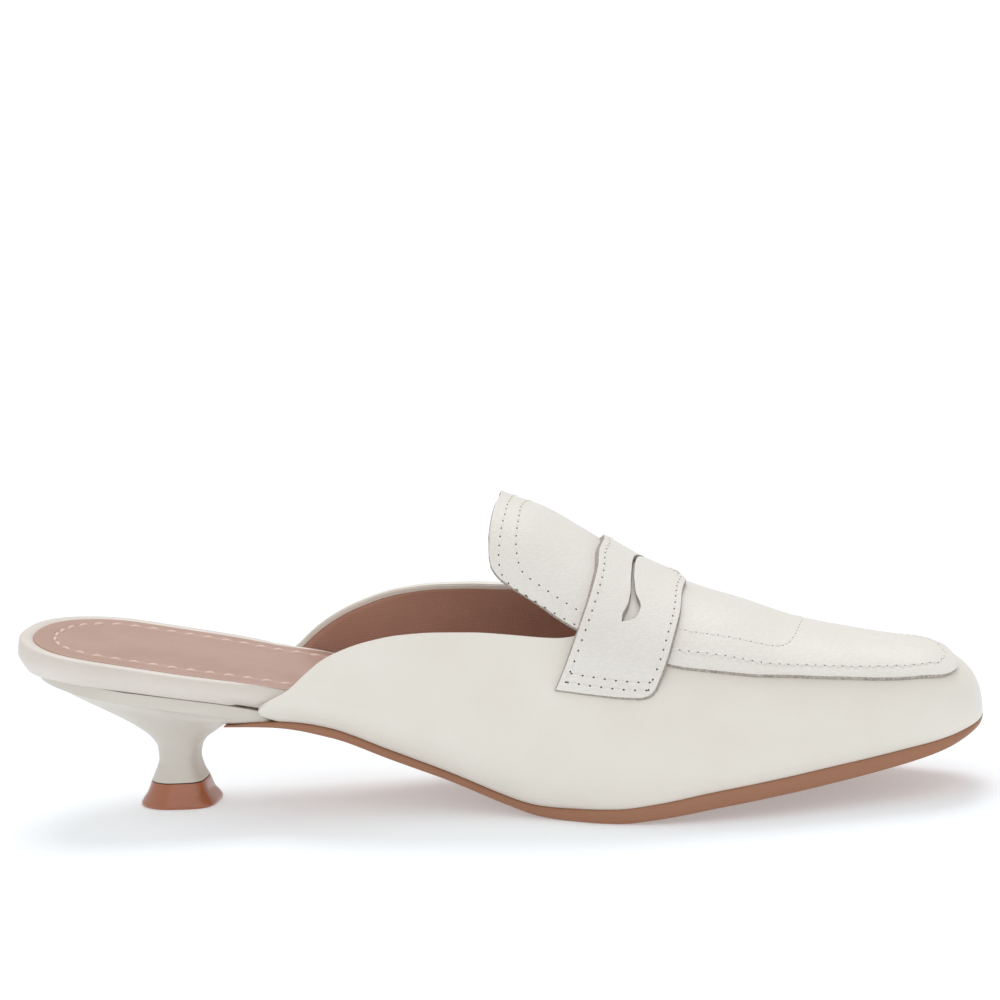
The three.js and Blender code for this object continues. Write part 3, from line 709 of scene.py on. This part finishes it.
# penny strap
# step, x and z of the top face's edges, from the lower end to the ridge
strapRear = [
    (0, 148.3, 35.3), (1, 151.8, 42.9), (2, 155.4, 52.3), (3, 157.4, 58.8), (4, 158.1, 63.4),
    (5, 156.6, 69)]
strapFront = [
    (0, 173.4, 32.2), (1, 177.3, 41.2), (2, 178.7, 46.4), (3, 179.6, 51.4), (4, 179.1, 54.8),
    (5, 177.4, 59)]
pennySlot = [  # x, y, half width, from above
    (165.4, -29.8, 0), (167.2, -27.4, 1.5), (168.1, -24, 1.4), (167.4, -20.4, 0.6), (166.4, -12, 0.35),
    (165.6, 0, 0.35), (166.4, 8, 0.35), (167.4, 16.4, 0.6), (168.1, 20, 1.4), (167.2, 23.4, 1.5),
    (165.4, 25.8, 0)]
strapShape = {"thick": 1.2, "overApron": 1.15, "clear": 0.3, "columns": 110, "rows": 30, "corner": 0.14,
              "round": 0.03, "insetAcross": 0.02, "insetAlong": 0.009, "farShift": 1.6, "farSkew": 3.0}


def strapLift(y):
    over = strapShape["overApron"] * (1 - eased(abs(y), 33, 36.5))  # higher where the apron lies under it
    return strapShape["clear"] + over + strapShape["thick"]


def strapEdge(rows):
    # (travel, v, s) along one edge of the strap from its lower end to the ridge; the rows give its top face
    spots = []
    travelled = 0
    before = None
    for n in range(201):
        k = 5 * n / 200
        x, z = smoothAt(rows, 1, k), smoothAt(rows, 2, k)
        s, height = stationOf(x), z
        for _ in range(5):
            ridge = lastPoint(s, 0.5).z
            v = 0.5 if height >= ridge else sideAtHeight(s, height)
            here = onLast(s, v, strapLift(lastPoint(s, v).y))
            s += (x - here.x) / (toeStart - formStart)
            height += (z - here.z) * 0.8
        if before:
            travelled += (here - before).length
        before = here
        spots.append((travelled, v, s))
        if v == 0.5:
            break
    return spots


rearSpots = strapEdge(strapRear)
frontSpots = strapEdge(strapFront)


def strapPoint(t, u, extra=0, inset=0):
    # t from the rear edge to the front one, u from the inner end over the ridge to the outer end
    side = -1 if u < 0.5 else 1
    share = 2 * u if u < 0.5 else 2 * (1 - u)
    corner = max(0, (t - 1 + strapShape["corner"]) / strapShape["corner"])
    share = share + strapShape["round"] * 2 * (1 - math.sqrt(1 - min(corner, 1) ** 2)) * (1 - share)
    along, across = inset * strapShape["insetAlong"], inset * strapShape["insetAcross"]
    share = along + (1 - along) * share
    t = across + (1 - 2 * across) * t
    vRear, sRear = alongEdge(rearSpots, share)
    vFront, sFront = alongEdge(frontSpots, share)
    v = vRear + (vFront - vRear) * t
    s = sRear + (sFront - sRear) * t
    if side > 0:
        # on the outer side the strap runs a little further back
        v = 1 - v
        back = strapShape["farShift"] + strapShape["farSkew"] * t
        s -= back / (toeStart - formStart) * eased(1 - share, 0, 0.2)
    return onLast(s, v, strapLift(lastPoint(s, v).y) + extra)


def strapSheet():
    rows = strapShape["rows"]
    columns = strapShape["columns"]

    def place(i, j, extra=0, inset=1):
        t = math.sin(j / rows * math.pi / 2) * 0.5 + j / rows * 0.5
        return strapPoint(t, i / columns, extra, inset)

    sheet = gridPiece("penny_strap", columns, rows, place, flip=True)
    thick = strapShape["thick"]
    cutSheet(sheet, thick, columns, rows, lambda i, j: place(i, j, -thick - 0.2, 0))
    steps = 80
    slotRows = [(y, x, half) for x, y, half in pennySlot]
    slotStart = slotRows[0][0]
    slotSpan = slotRows[-1][0] - slotStart

    def slotPlace(i, j):
        n = i if i <= steps else 2 * steps - i
        y = slotStart + slotSpan * (1 - math.cos(math.pi * n / steps)) / 2
        half = 0 if n in (0, steps) else max(smoothAt(slotRows, 2, y), 0.001)
        reach = half * 1.15 if i <= steps else -half  # the front lip bulges a little more
        return smoothAt(slotRows, 1, y) + reach, y, (30 if j == 0 else 100)

    cutter = gridPiece("slot_cutter", 2 * steps, 1, slotPlace, closed=True)
    cutter.data.materials.append(rawEdge)
    capEnds(cutter)
    outsideCheck(cutter)
    applied(sheet, "BOOLEAN", {"object": cutter, "operation": "DIFFERENCE", "solver": "EXACT",
                               "material_mode": "TRANSFER"})
    bpy.data.objects.remove(cutter)
    bevelled(sheet, cutEdge["bevel"], cutEdge["segments"], cutEdge["angle"])
    smoothByAngle(sheet, 45)
    return finished(sheet, "print_leather", "saddle_strap")


strapSheet()
print("penny strap made and its slot cut")


# slabs with the foot's outline
def stationsOf(outline, count, inset, arcSteps=16):
    start, end, rearDepth, rearPower, frontDepth, frontPower = outline
    rear = rearDepth - inset if rearDepth else 0
    front = frontDepth - inset
    begin = start + inset
    finish = end - inset
    row = []
    if rearDepth:
        for i in range(arcSteps):
            turn = math.pi / 2 * i / arcSteps
            x = begin + rear * (1 - math.cos(turn) ** (2 / rearPower))
            row.append((x, math.sin(turn) ** (2 / rearPower)))
    middle = finish - front - begin - rear
    row += [(begin + rear + middle * i / count, 1) for i in range(count)]
    for i in range(arcSteps + 1):
        turn = math.pi / 2 * i / arcSteps
        row.append((finish - front + front * math.sin(turn) ** (2 / frontPower),
                    max(math.cos(turn), 0) ** (2 / frontPower)))
    return row


def inward(ring, share):
    # a ring drawn in towards its middle line
    n = len(ring)
    pairs = [zip(ring[k], ring[n - 1 - k]) for k in range(n)]
    return [tuple(p * (1 - share / 2) + q * share / 2 for p, q in pair) for pair in pairs]


def slabPiece(name, outline, count, widths, levels):
    # levels: (plan inset, side inset by x, height by x)
    # both ends are closed by strips across to the middle line
    rings = []
    for plan, side, height in levels:
        row = stationsOf(outline, count, plan)

        def half(x, pull, sign, plan=plan, side=side, height=height):
            reach = (widths(x, sign, height(x)) - side(x)) * pull
            centre = noseY * (1 - pull) if x > toeStart - 10 else 0
            return (x, centre + sign * max(reach, 0), height(x))

        near = [half(x, pull, -1) for x, pull in row]
        rings.append(near + [half(x, pull, 1) for x, pull in reversed(row)])

    under = [inward(rings[0], share) for share in (1, 0.6, 0.25, 0.05)]
    over = [inward(rings[-1], share) for share in (0.05, 0.25, 0.6, 1)]
    rings = under + rings + over
    return gridPiece(name, len(rings[0]), len(rings) - 1, lambda i, j: rings[j][i], closed=True)


def same(amount):
    return lambda x: amount


def outsolePiece():
    outline = (58.6, shoeLength, 0, 2, shoeLength - toeStart, toePower)

    def widths(x, sign, z):
        return smoothAt(solePlan, 1 if sign < 0 else 2, x)

    def at(share):
        # the rear end is pared thin where it runs up under the heel's breast
        return lambda x: (smoothAt(soleSide, 1, x)
                          + smoothAt(soleSide, 2, x) * share * (0.3 + 0.7 * eased(x, 58, 72)))

    # inset of the edge and share of the thickness, from the underside up
    edge = [(1.5, 0), (0.9, 0.03), (0.4, 0.14), (0.1, 0.3), (0, 0.55), (0.05, 0.85), (0.3, 0.97), (0.7, 1)]
    levels = [(inset, same(inset), at(share)) for inset, share in edge]
    sole = slabPiece("tan_outsole", outline, 110, widths, levels)
    return closedPiece(sole, soleBoard, 50, "outsole", "outsole")


outsolePiece()

footbedPlan = [  # x, inner and outer half width, tuck of the underside, sock's distance from the edge
    (0, 28, 28, 3.2, 4.0), (26, 28, 28, 3.2, 4.0), (45, 27.8, 28, 3.2, 3.9), (56, 27, 27.2, 3.2, 3.7),
    (62, 26.1, 26.3, 3.0, 3.1), (68, 25.2, 25.4, 3.2, 2.2), (80, 24, 24.8, 6.2, 1.2),
    (100, 23.6, 25.6, 7.2, 1.2), (125, 26.8, 30, 6.4, 1.2), (145, 31.4, 33.4, 3.8, 1.2),
    (160, 34.6, 34.2, 2.6, 1.2), (175, 36, 34, 2.2, 1.2), (190, 34.2, 31.8, 2.2, 1.2),
    (205, 30.2, 28, 2.2, 1.2), (220, 24.8, 23.2, 2.2, 1.2), (236, 18.8, 16.6, 2.2, 1.2),
    (250, 14, 12, 2.2, 1.2)]
seatSide = [  # x, height of the sock's face
    (0, 48.9), (11, 46.8), (30, 43.2), (48, 39.8), (64, 36.9), (77, 34.4), (90, 29.8), (100, 25.4),
    (120, 16.4), (133, 11.4), (145, 8.7), (157, 8.2), (180, 10.6), (200, 13.4), (220, 15.8), (236, 18.2),
    (250, 22)]
creaseSide = [  # x, height of the crease between footbed and heel
    (0, 38.4), (5, 38.7), (12, 38.9), (20, 37.9), (31, 36.1), (46, 33.6), (58, 31.5),
    (62, 30.6), (66.3, 29.6), (70, 28.6)]
seatFlare = 1.6  # the heel seat is this much wider on the outer side
footbedOutline = (0, 247.6, 26, 2.3, 12, 2.4)
sockOutline = (0, 246.6, 26, 2.3, 12, 2.4)


@lru_cache(maxsize=None)
def wallInside(x, sign, z):
    # half width between the lining's faces at a height
    if x < 62:
        return 99
    s = stationOf(min(x, 251))
    v = sideAtHeight(s, max(z, featherZ(x) + 0.2))
    point = lastPoint(s, v if sign < 0 else 1 - v)
    return max(abs(point.y) - 2.25, 1)


def footbedWidths(x, sign, z):
    plan = smoothAt(footbedPlan, 1 if sign < 0 else 2, x)
    if sign > 0:
        plan += seatFlare * eased(x, 6, 24) * (1 - eased(x, 50, 68))
    wall = wallInside(round(x, 3), sign, round(z, 3))
    plan = plan + (wall - plan) * eased(x, 84, 100)
    return min(plan, wall)


def seat(x):
    return smoothAt(seatSide, 1, x)


def seatLess(drop):
    return lambda x: seat(x) - drop


def footbedUnder(x):
    share = eased(x, 67, 76)
    return smoothAt(creaseSide, 1, x) * (1 - share) + featherZ(x) * share


def rim(extra, share=1):
    return lambda x: (smoothAt(footbedPlan, 4, x) + extra) * share


def footbedPiece():
    def between(share):
        return lambda x: footbedUnder(x) + (seat(x) - 1.3 - footbedUnder(x)) * share

    def tucked(share):
        return lambda x: smoothAt(footbedPlan, 3, x) * share

    # from under the bed up, over the edge (a hair above the sock's face) and down under the sock
    tuck = ((3.6, 1, 0), (2.4, 0.68, 0.1), (1.6, 0.42, 0.25), (0.7, 0.19, 0.42))
    levels = [(inset, tucked(share), between(height)) for inset, share, height in tuck]
    side = ((0, 0.62), (0.02, 0.74), (0.22, 0.88))
    levels += [(inset, same(inset), between(height)) for inset, height in side]
    levels += [(0.6, same(0.6), seatLess(0.55)), (1.2, same(1.2), seatLess(0.07)),
               (2.1, rim(0, 0.52), seatLess(-0.05)), (3.3, rim(0, 0.82), seatLess(0.05)),
               (4.3, rim(0.3), seatLess(0.45)), (5.0, rim(1), seatLess(1.4))]
    bed = slabPiece("wrapped_footbed", footbedOutline, 110, footbedWidths, levels)
    return closedPiece(bed, wrap, 60, "footbed_leather", "footbed")


footbedPiece()

sockShape = {"row": 5.6, "groove": 0.32}
sockEdge = footbedPlan[0][4]


def sockPiece():
    def rowGroove(inset):
        # the sewn row pulls the leather down between two soft shoulders
        away = inset - sockShape["row"]
        return -sockShape["groove"] * math.exp(-(away / 0.8) ** 2) + 0.10 * math.exp(-(away / 2.6) ** 2)

    levels = [(4.25, rim(0.1), seatLess(0.9)), (4.1, rim(0), seatLess(0.4)),
              (4.2, rim(0.08), seatLess(0.14)), (4.45, rim(0.35), seatLess(0.03))]
    for inset in (1.2, 2.4, 3.6, 4.4, 5.0, 5.4, 5.8, 6.2, 6.8, 7.8, 9.2, 11):
        levels.append((sockEdge + inset, rim(inset), seatLess(-rowGroove(inset))))
    sock = slabPiece("tan_sock", sockOutline, 120, footbedWidths, levels)
    return closedPiece(sock, sockTan, 60, "sock_leather", "insole")


sockPiece()
print("outsole, footbed and sock made")


# heel and top piece
# ring, back x and z, front x and z, half width, the same at the front, squareness of the front
heelRings = [
    (0, 32.0, 6.8, 46.9, 6.8, 7.0, 7.0, 4), (1, 33.3, 9.4, 45.8, 9.4, 6.1, 6.1, 4),
    (2, 34.4, 12.6, 45.3, 12.4, 5.5, 5.5, 4), (3, 34.3, 15.6, 46.0, 15.4, 5.6, 5.6, 4),
    (4, 32.6, 18.6, 48.2, 18.0, 6.6, 6.8, 4), (5, 28.1, 22.3, 51.2, 20.0, 8.6, 9.6, 4),
    (6, 20.7, 26.8, 54.6, 22.3, 11.6, 14, 4.5), (7, 12.4, 31.4, 57.8, 24.8, 15.0, 21.5, 6),
    (8, 6.8, 35.1, 64, 25.4, 19.4, 23.0, 12), (9, 4.0, 37.1, 71, 25.6, 24.6, 22.3, 16)]
topPieceRings = [
    (0, 29.3, 0, 49.1, 0, 8.7, 8.7, 4), (0.35, 28.75, 0.25, 49.65, 0.25, 9.05, 9.05, 4),
    (1, 28.6, 0.8, 49.8, 0.8, 9.2, 9.2, 4), (1.5, 29.3, 1.9, 49.2, 1.9, 8.75, 8.75, 4),
    (2, 30.4, 3.4, 48.1, 3.4, 7.9, 7.9, 4), (3, 31.7, 6.1, 47.2, 6.1, 7.1, 7.1, 4),
    (3.3, 31.9, 6.5, 47.0, 6.5, 7.0, 7.0, 4)]


def dRing(rows, k, count):
    # round at the back, flat with soft corners at the breast
    values = (smoothAt(rows, column, k) for column in range(1, 8))
    backX, backZ, frontX, frontZ, half, frontHalf, square = values
    widest = backX + (frontX - backX) * 0.46
    ring = []
    for i in range(count):
        turn = 2 * math.pi * (i + 0.5) / count
        c, s = math.cos(turn), math.sin(turn)
        power = 2 / (square if c > 0 else 1.9)
        x = widest + (frontX - widest if c > 0 else backX - widest) * abs(c) ** power
        y = (half + (frontHalf - half) * eased(x, widest, frontX)) * math.copysign(abs(s) ** power, s)
        ring.append((x, y, backZ + (frontZ - backZ) * (x - backX) / (frontX - backX)))
    return ring


def dPiece(name, rows, steps, count=120, top=None):
    last = rows[-1][0]
    rings = [dRing(rows, last * n / steps, count) for n in range(steps + 1)]
    if top:
        rings.append([(x, y, top(x)) for x, y, z in rings[-1]])
    rings = [inward(rings[0], share) for share in (1, 0.5, 0.12)] + rings
    rings += [inward(rings[-1], share) for share in (0.12, 0.5, 1)]
    return gridPiece(name, count, len(rings) - 1, lambda i, j: rings[j][i], closed=True)


heel = dPiece("kitten_heel", heelRings, 54, top=lambda x: smoothAt(creaseSide, 1, x) - 0.35)
closedPiece(heel, heelWrap, 45, "heel_cover", "heel")

topPiece = dPiece("top_piece", topPieceRings, 26)
closedPiece(topPiece, topPoly, 40, "top_piece", "heel_tip")
print("heel and top piece made")


# stitches
def walkLine(spots, pitch, lead=0):
    # spots: (position, outward direction) close together; returns them a pitch apart, with the way along
    travelled = [0]
    for (a, _), (b, _) in zip(spots, spots[1:]):
        travelled.append(travelled[-1] + (b - a).length)
    count = max(int((travelled[-1] - 2 * lead) / pitch), 1)
    found = []
    k = 0
    for n in range(count + 1):
        target = lead + (travelled[-1] - 2 * lead) * n / count
        while k + 2 < len(travelled) and travelled[k + 1] < target:
            k += 1
        span = travelled[k + 1] - travelled[k]
        share = (target - travelled[k]) / span if span else 0
        place = spots[k][0].lerp(spots[k + 1][0], share)
        out = spots[k][1].lerp(spots[k + 1][1], share).normalized()
        found.append((place, out))
    return found


# place along the stitch, thickness and lift
stitchRise = [(-0.5, 0.45, -0.9), (-0.34, 0.9, 0.05), (0, 1, 0.3), (0.34, 0.9, 0.05), (0.5, 0.45, -0.9)]


def stitchShape():
    # one stitch lying along x: a thread of six sides, high in the middle and diving at both ends
    clearSelection()
    bpy.ops.mesh.primitive_cylinder_add(vertices=6, radius=0.5, depth=1, rotation=(0, math.pi / 2, 0))
    model = bpy.context.object
    bpy.ops.object.transform_apply(rotation=True)
    points = [vertex.co.copy() for vertex in model.data.vertices]
    bpy.data.objects.remove(model)
    ring = {(round(p.y, 4), round(p.z, 4)) for p in points}
    ring = sorted(ring, key=lambda p: math.atan2(p[1], p[0]))
    shape = [(x, y * size, z * size + lift * 0.5) for x, size, lift in stitchRise for y, z in ring]
    faces = []
    for r in range(len(stitchRise) - 1):
        for i in range(6):
            k = (i + 1) % 6
            faces.append((6 * r + i, 6 * r + k, 6 * r + 6 + k, 6 * r + 6 + i))
    faces += [tuple(range(5, -1, -1)), tuple(range(24, 30))]
    return shape, faces


stitchPoints, stitchFaces = stitchShape()


def joinedCopies(name, shapePoints, shapeFaces, frames, material, slot):
    points = []
    faces = []
    for matrix in frames:
        base = len(points)
        points += [matrix @ Vector(p) for p in shapePoints]
        faces += [tuple(base + k for k in face) for face in shapeFaces]
    mesh = bpy.data.meshes.new(name)
    mesh.from_pydata(points, [], faces)
    piece = bpy.data.objects.new(name, mesh)
    bpy.context.scene.collection.objects.link(piece)
    piece.data.materials.append(material)
    outsideCheck(piece)
    bpy.ops.object.shade_smooth()
    return finished(piece, slot)


def frameAt(place, along, out, length, width, height):
    along = (along - out * along.dot(out)).normalized()
    across = out.cross(along)
    basis = Matrix((along * length * mm, across * width * mm, out * height * mm)).transposed().to_4x4()
    basis.translation = placed(*place)
    return basis


# pitch, a stitch's length and thickness, its needle hole's length and width (a dark dot of painted shade),
# zigzag
sewing = {
    "strap_thread": (2.8, 1.9, 0.5, (0.6, 0.45), 0), "tongue_thread": (2.8, 1.9, 0.5, (0.55, 0.42), 0),
    "apron_thread": (2.3, 2.6, 0.75, (0.5, 0.36), 0.28), "inner_thread": (2.8, 2.0, 0.45, (0.42, 0.32), 0),
    "sock_thread": (5.0, 3.4, 1.1, None, 0)}


def sewRows(name, rows, material=whiteThread, slot="thread"):
    pitch, stitch, thick, holes, sway = sewing[name]
    threads = []
    dots = []
    for spots in rows:
        line = walkLine(spots, pitch)
        for n, ((a, outA), (b, outB)) in enumerate(zip(line, line[1:])):
            out = (outA + outB).normalized()
            across = out.cross(b - a).normalized() * sway * (1 if n % 2 else -1)
            a, b = a - across, b + across
            middle = (a + b) / 2
            threads.append(frameAt(middle - out * thick * 0.12, b - a, out, stitch, thick, thick))
        for n, (a, out) in enumerate(line):
            along = (line[min(n + 1, len(line) - 1)][0] - line[max(n - 1, 0)][0])
            # a dark dot in each needle hole: painted shade
            if holes:
                dots.append(frameAt(a + out * 0.03, along, out, holes[0], holes[1], 0.12))
    sewn = joinedCopies(name, stitchPoints, stitchFaces, threads, material, slot)
    # the hole dots take the dark needle hole finish, which is painted shade
    if holes:
        ring = [(0.5 * math.cos(k * math.pi / 4), 0.5 * math.sin(k * math.pi / 4), 0) for k in range(8)]
        under = [(x * 0.8, y * 0.8, -3) for x, y, z in ring]
        faces = [tuple(range(8))] + [(k, 8 + k, 8 + (k + 1) % 8, (k + 1) % 8) for k in range(8)]
        faces.append(tuple(range(15, 7, -1)))
        joinedCopies(name.replace("thread", "holes"), ring + under, faces, dots, needleHoleShade, slot)
    return sewn


def strapLine(points, count=60):
    # straight runs between (t, u) points on the strap
    spots = []
    for (t0, u0), (t1, u1) in zip(points, points[1:]):
        for n in range(count + 1):
            share = n / count
            t, u = t0 + (t1 - t0) * share, u0 + (u1 - u0) * share
            here = strapPoint(t, u)
            ahead = strapPoint(min(t + 0.02, 1), u) - strapPoint(max(t - 0.02, 0), u)
            around = strapPoint(t, min(u + 0.01, 1)) - strapPoint(t, max(u - 0.01, 0))
            spots.append((here, ahead.cross(around).normalized()))
    return spots


strapRows = {"edge": 0.085, "end": 0.026, "second": 0.049}  # distances from the strap's edges, as shares
t0, t1 = strapRows["edge"], 1 - strapRows["edge"]
end, second = strapRows["end"], strapRows["second"]
rows = [strapLine([(t, end), (t, 1 - end)], 240) for t in (t0, t1)]
for u in (end, second, 1 - end, 1 - second):
    rows.append(strapLine([(t0 + 0.02, u), (t1 - 0.02, u)]))
sewRows("strap_thread", rows)


def apronLine(points, count=24):
    # a smooth run through (x, y) points seen from above
    rowsX = [(k, *p) for k, p in enumerate(points)]
    spots = []
    last = len(points) - 1
    for n in range(last * count + 1):
        k = n / count
        x, y = smoothAt(rowsX, 1, k), smoothAt(rowsX, 2, k)
        here = apronPoint(x, y, apronShape["top"])
        side = apronPoint(x, y + 0.5, apronShape["top"]) - here
        ahead = apronPoint(x + 0.5, y, apronShape["top"]) - here
        spots.append((here, ahead.cross(side).normalized()))
    return spots


def bothSides(points):
    # a run round the tongue's end: the inner side's points, then the same ones on the outer side
    return list(reversed(points)) + [(x, -y) for x, y in points]


# sewn lines as x and y seen from above
tongueOuter = [
    (134.4, -4), (134.6, -12), (134.5, -18.6), (134.6, -23.5), (135.3, -26.3), (137.5, -28),
    (142.4, -29.3), (147.7, -30.2), (153.5, -30.9), (158.5, -31.2)]
tongueInner = [
    (137.2, -4), (137.6, -12), (137.9, -19), (138.6, -23), (140.4, -25.9), (143.3, -26.8),
    (148.5, -27.8), (154, -28.6), (158.5, -29)]
apronNear = [
    (175, -29.4), (184.6, -28.5), (198.4, -26.9), (209.2, -24.4), (220.9, -21.2), (231.1, -17.8),
    (237.2, -15.6), (242.4, -12.2)]
apronFar = [
    (175, 27), (186, 26), (200, 23.2), (214, 19.8), (226, 15), (234, 9.8), (239.5, 4.6),
    (242.6, -1.5), (243.6, -7), (242.4, -12.2)]
shortNear = [
    (175, -24.2), (180.7, -23.9), (195.5, -21.9), (202.9, -20.5), (206, -17), (207, -8), (207, 2),
    (206, 10), (203, 15.5), (195.5, 18.4), (181, 21.2), (175, 21.8)]
sewRows("tongue_thread", [apronLine(bothSides(tongueOuter)), apronLine(bothSides(tongueInner))])
sewRows("apron_thread", [apronLine(apronNear), apronLine(apronFar)])
sewRows("inner_thread", [apronLine(shortNear)])


def sockRow():
    row = stationsOf(sockOutline, 240, sockEdge + sockShape["row"], 40)
    loop = []
    for sign in (-1, 1):
        side = []
        for x, pull in row:
            if x > 128:
                break
            reach = (footbedWidths(x, sign, seat(x)) - rim(sockShape["row"])(x)) * pull
            side.append((Vector((x, sign * reach, seat(x) - 0.12)), Vector((0.12, 0, 1)).normalized()))
        loop += list(reversed(side)) if sign < 0 else side[1:]
    return loop


sewRows("sock_thread", [sockRow()], tanThread, "tan_thread")
print("stitches sewn")


# floor and light
light = {"key": 1.15, "spread": 30, "fill": 5.0, "sky": 0.7, "table": 0.3, "aim": (0, 0, 0.03)}


def addStage():
    clearSelection()
    bpy.ops.mesh.primitive_plane_add(size=80, location=(0, 0, 0))
    floor = bpy.context.object
    floor.name = "studio_floor"
    # white acrylic light table: even, barely mottled, glowing a little from below
    look = {"Roughness": 0.9, "Specular IOR Level": 0.1, "Emission Color": (1, 1, 1, 1),
            "Emission Strength": light["table"]}
    material, tree, shader = startMaterial("acrylic_light_table", look)
    cloud = addNode(tree, "TexNoise", {"Scale": 3}, {"Vector": coordinates(tree)})
    tint = mixed(tree, "DEE3E7", "DBE0E5", cloud.outputs[0])
    tree.links.new(tint.outputs[2], shader.inputs["Base Color"])
    floor.data.materials.append(material)
    world = bpy.data.worlds.new("studio")
    bpy.context.scene.world = world
    world.use_nodes = True
    sky = world.node_tree.nodes["Background"].inputs
    sky["Color"].default_value = (0.99, 0.995, 1, 1)
    sky["Strength"].default_value = light["sky"]
    for name, kind, power, spot in (("key", "SUN", light["key"], (-0.15, 0.8, 1.4)),
                                    ("fill", "AREA", light["fill"], (0.1, -1.6, 1.0))):
        bpy.ops.object.light_add(type=kind, location=spot)
        lamp = bpy.context.object
        lamp.name = name
        lamp.data.energy = power
        if kind == "SUN":
            lamp.data.angle = math.radians(light["spread"])
        else:
            lamp.data.size = 2
        lamp.rotation_mode = "QUATERNION"
        lamp.rotation_quaternion = (Vector(spot) - Vector(light["aim"])).to_track_quat("Z", "Y")
    bpy.context.scene.view_settings.view_transform = "Standard"
    bpy.context.scene.view_settings.look = "None"


addStage()
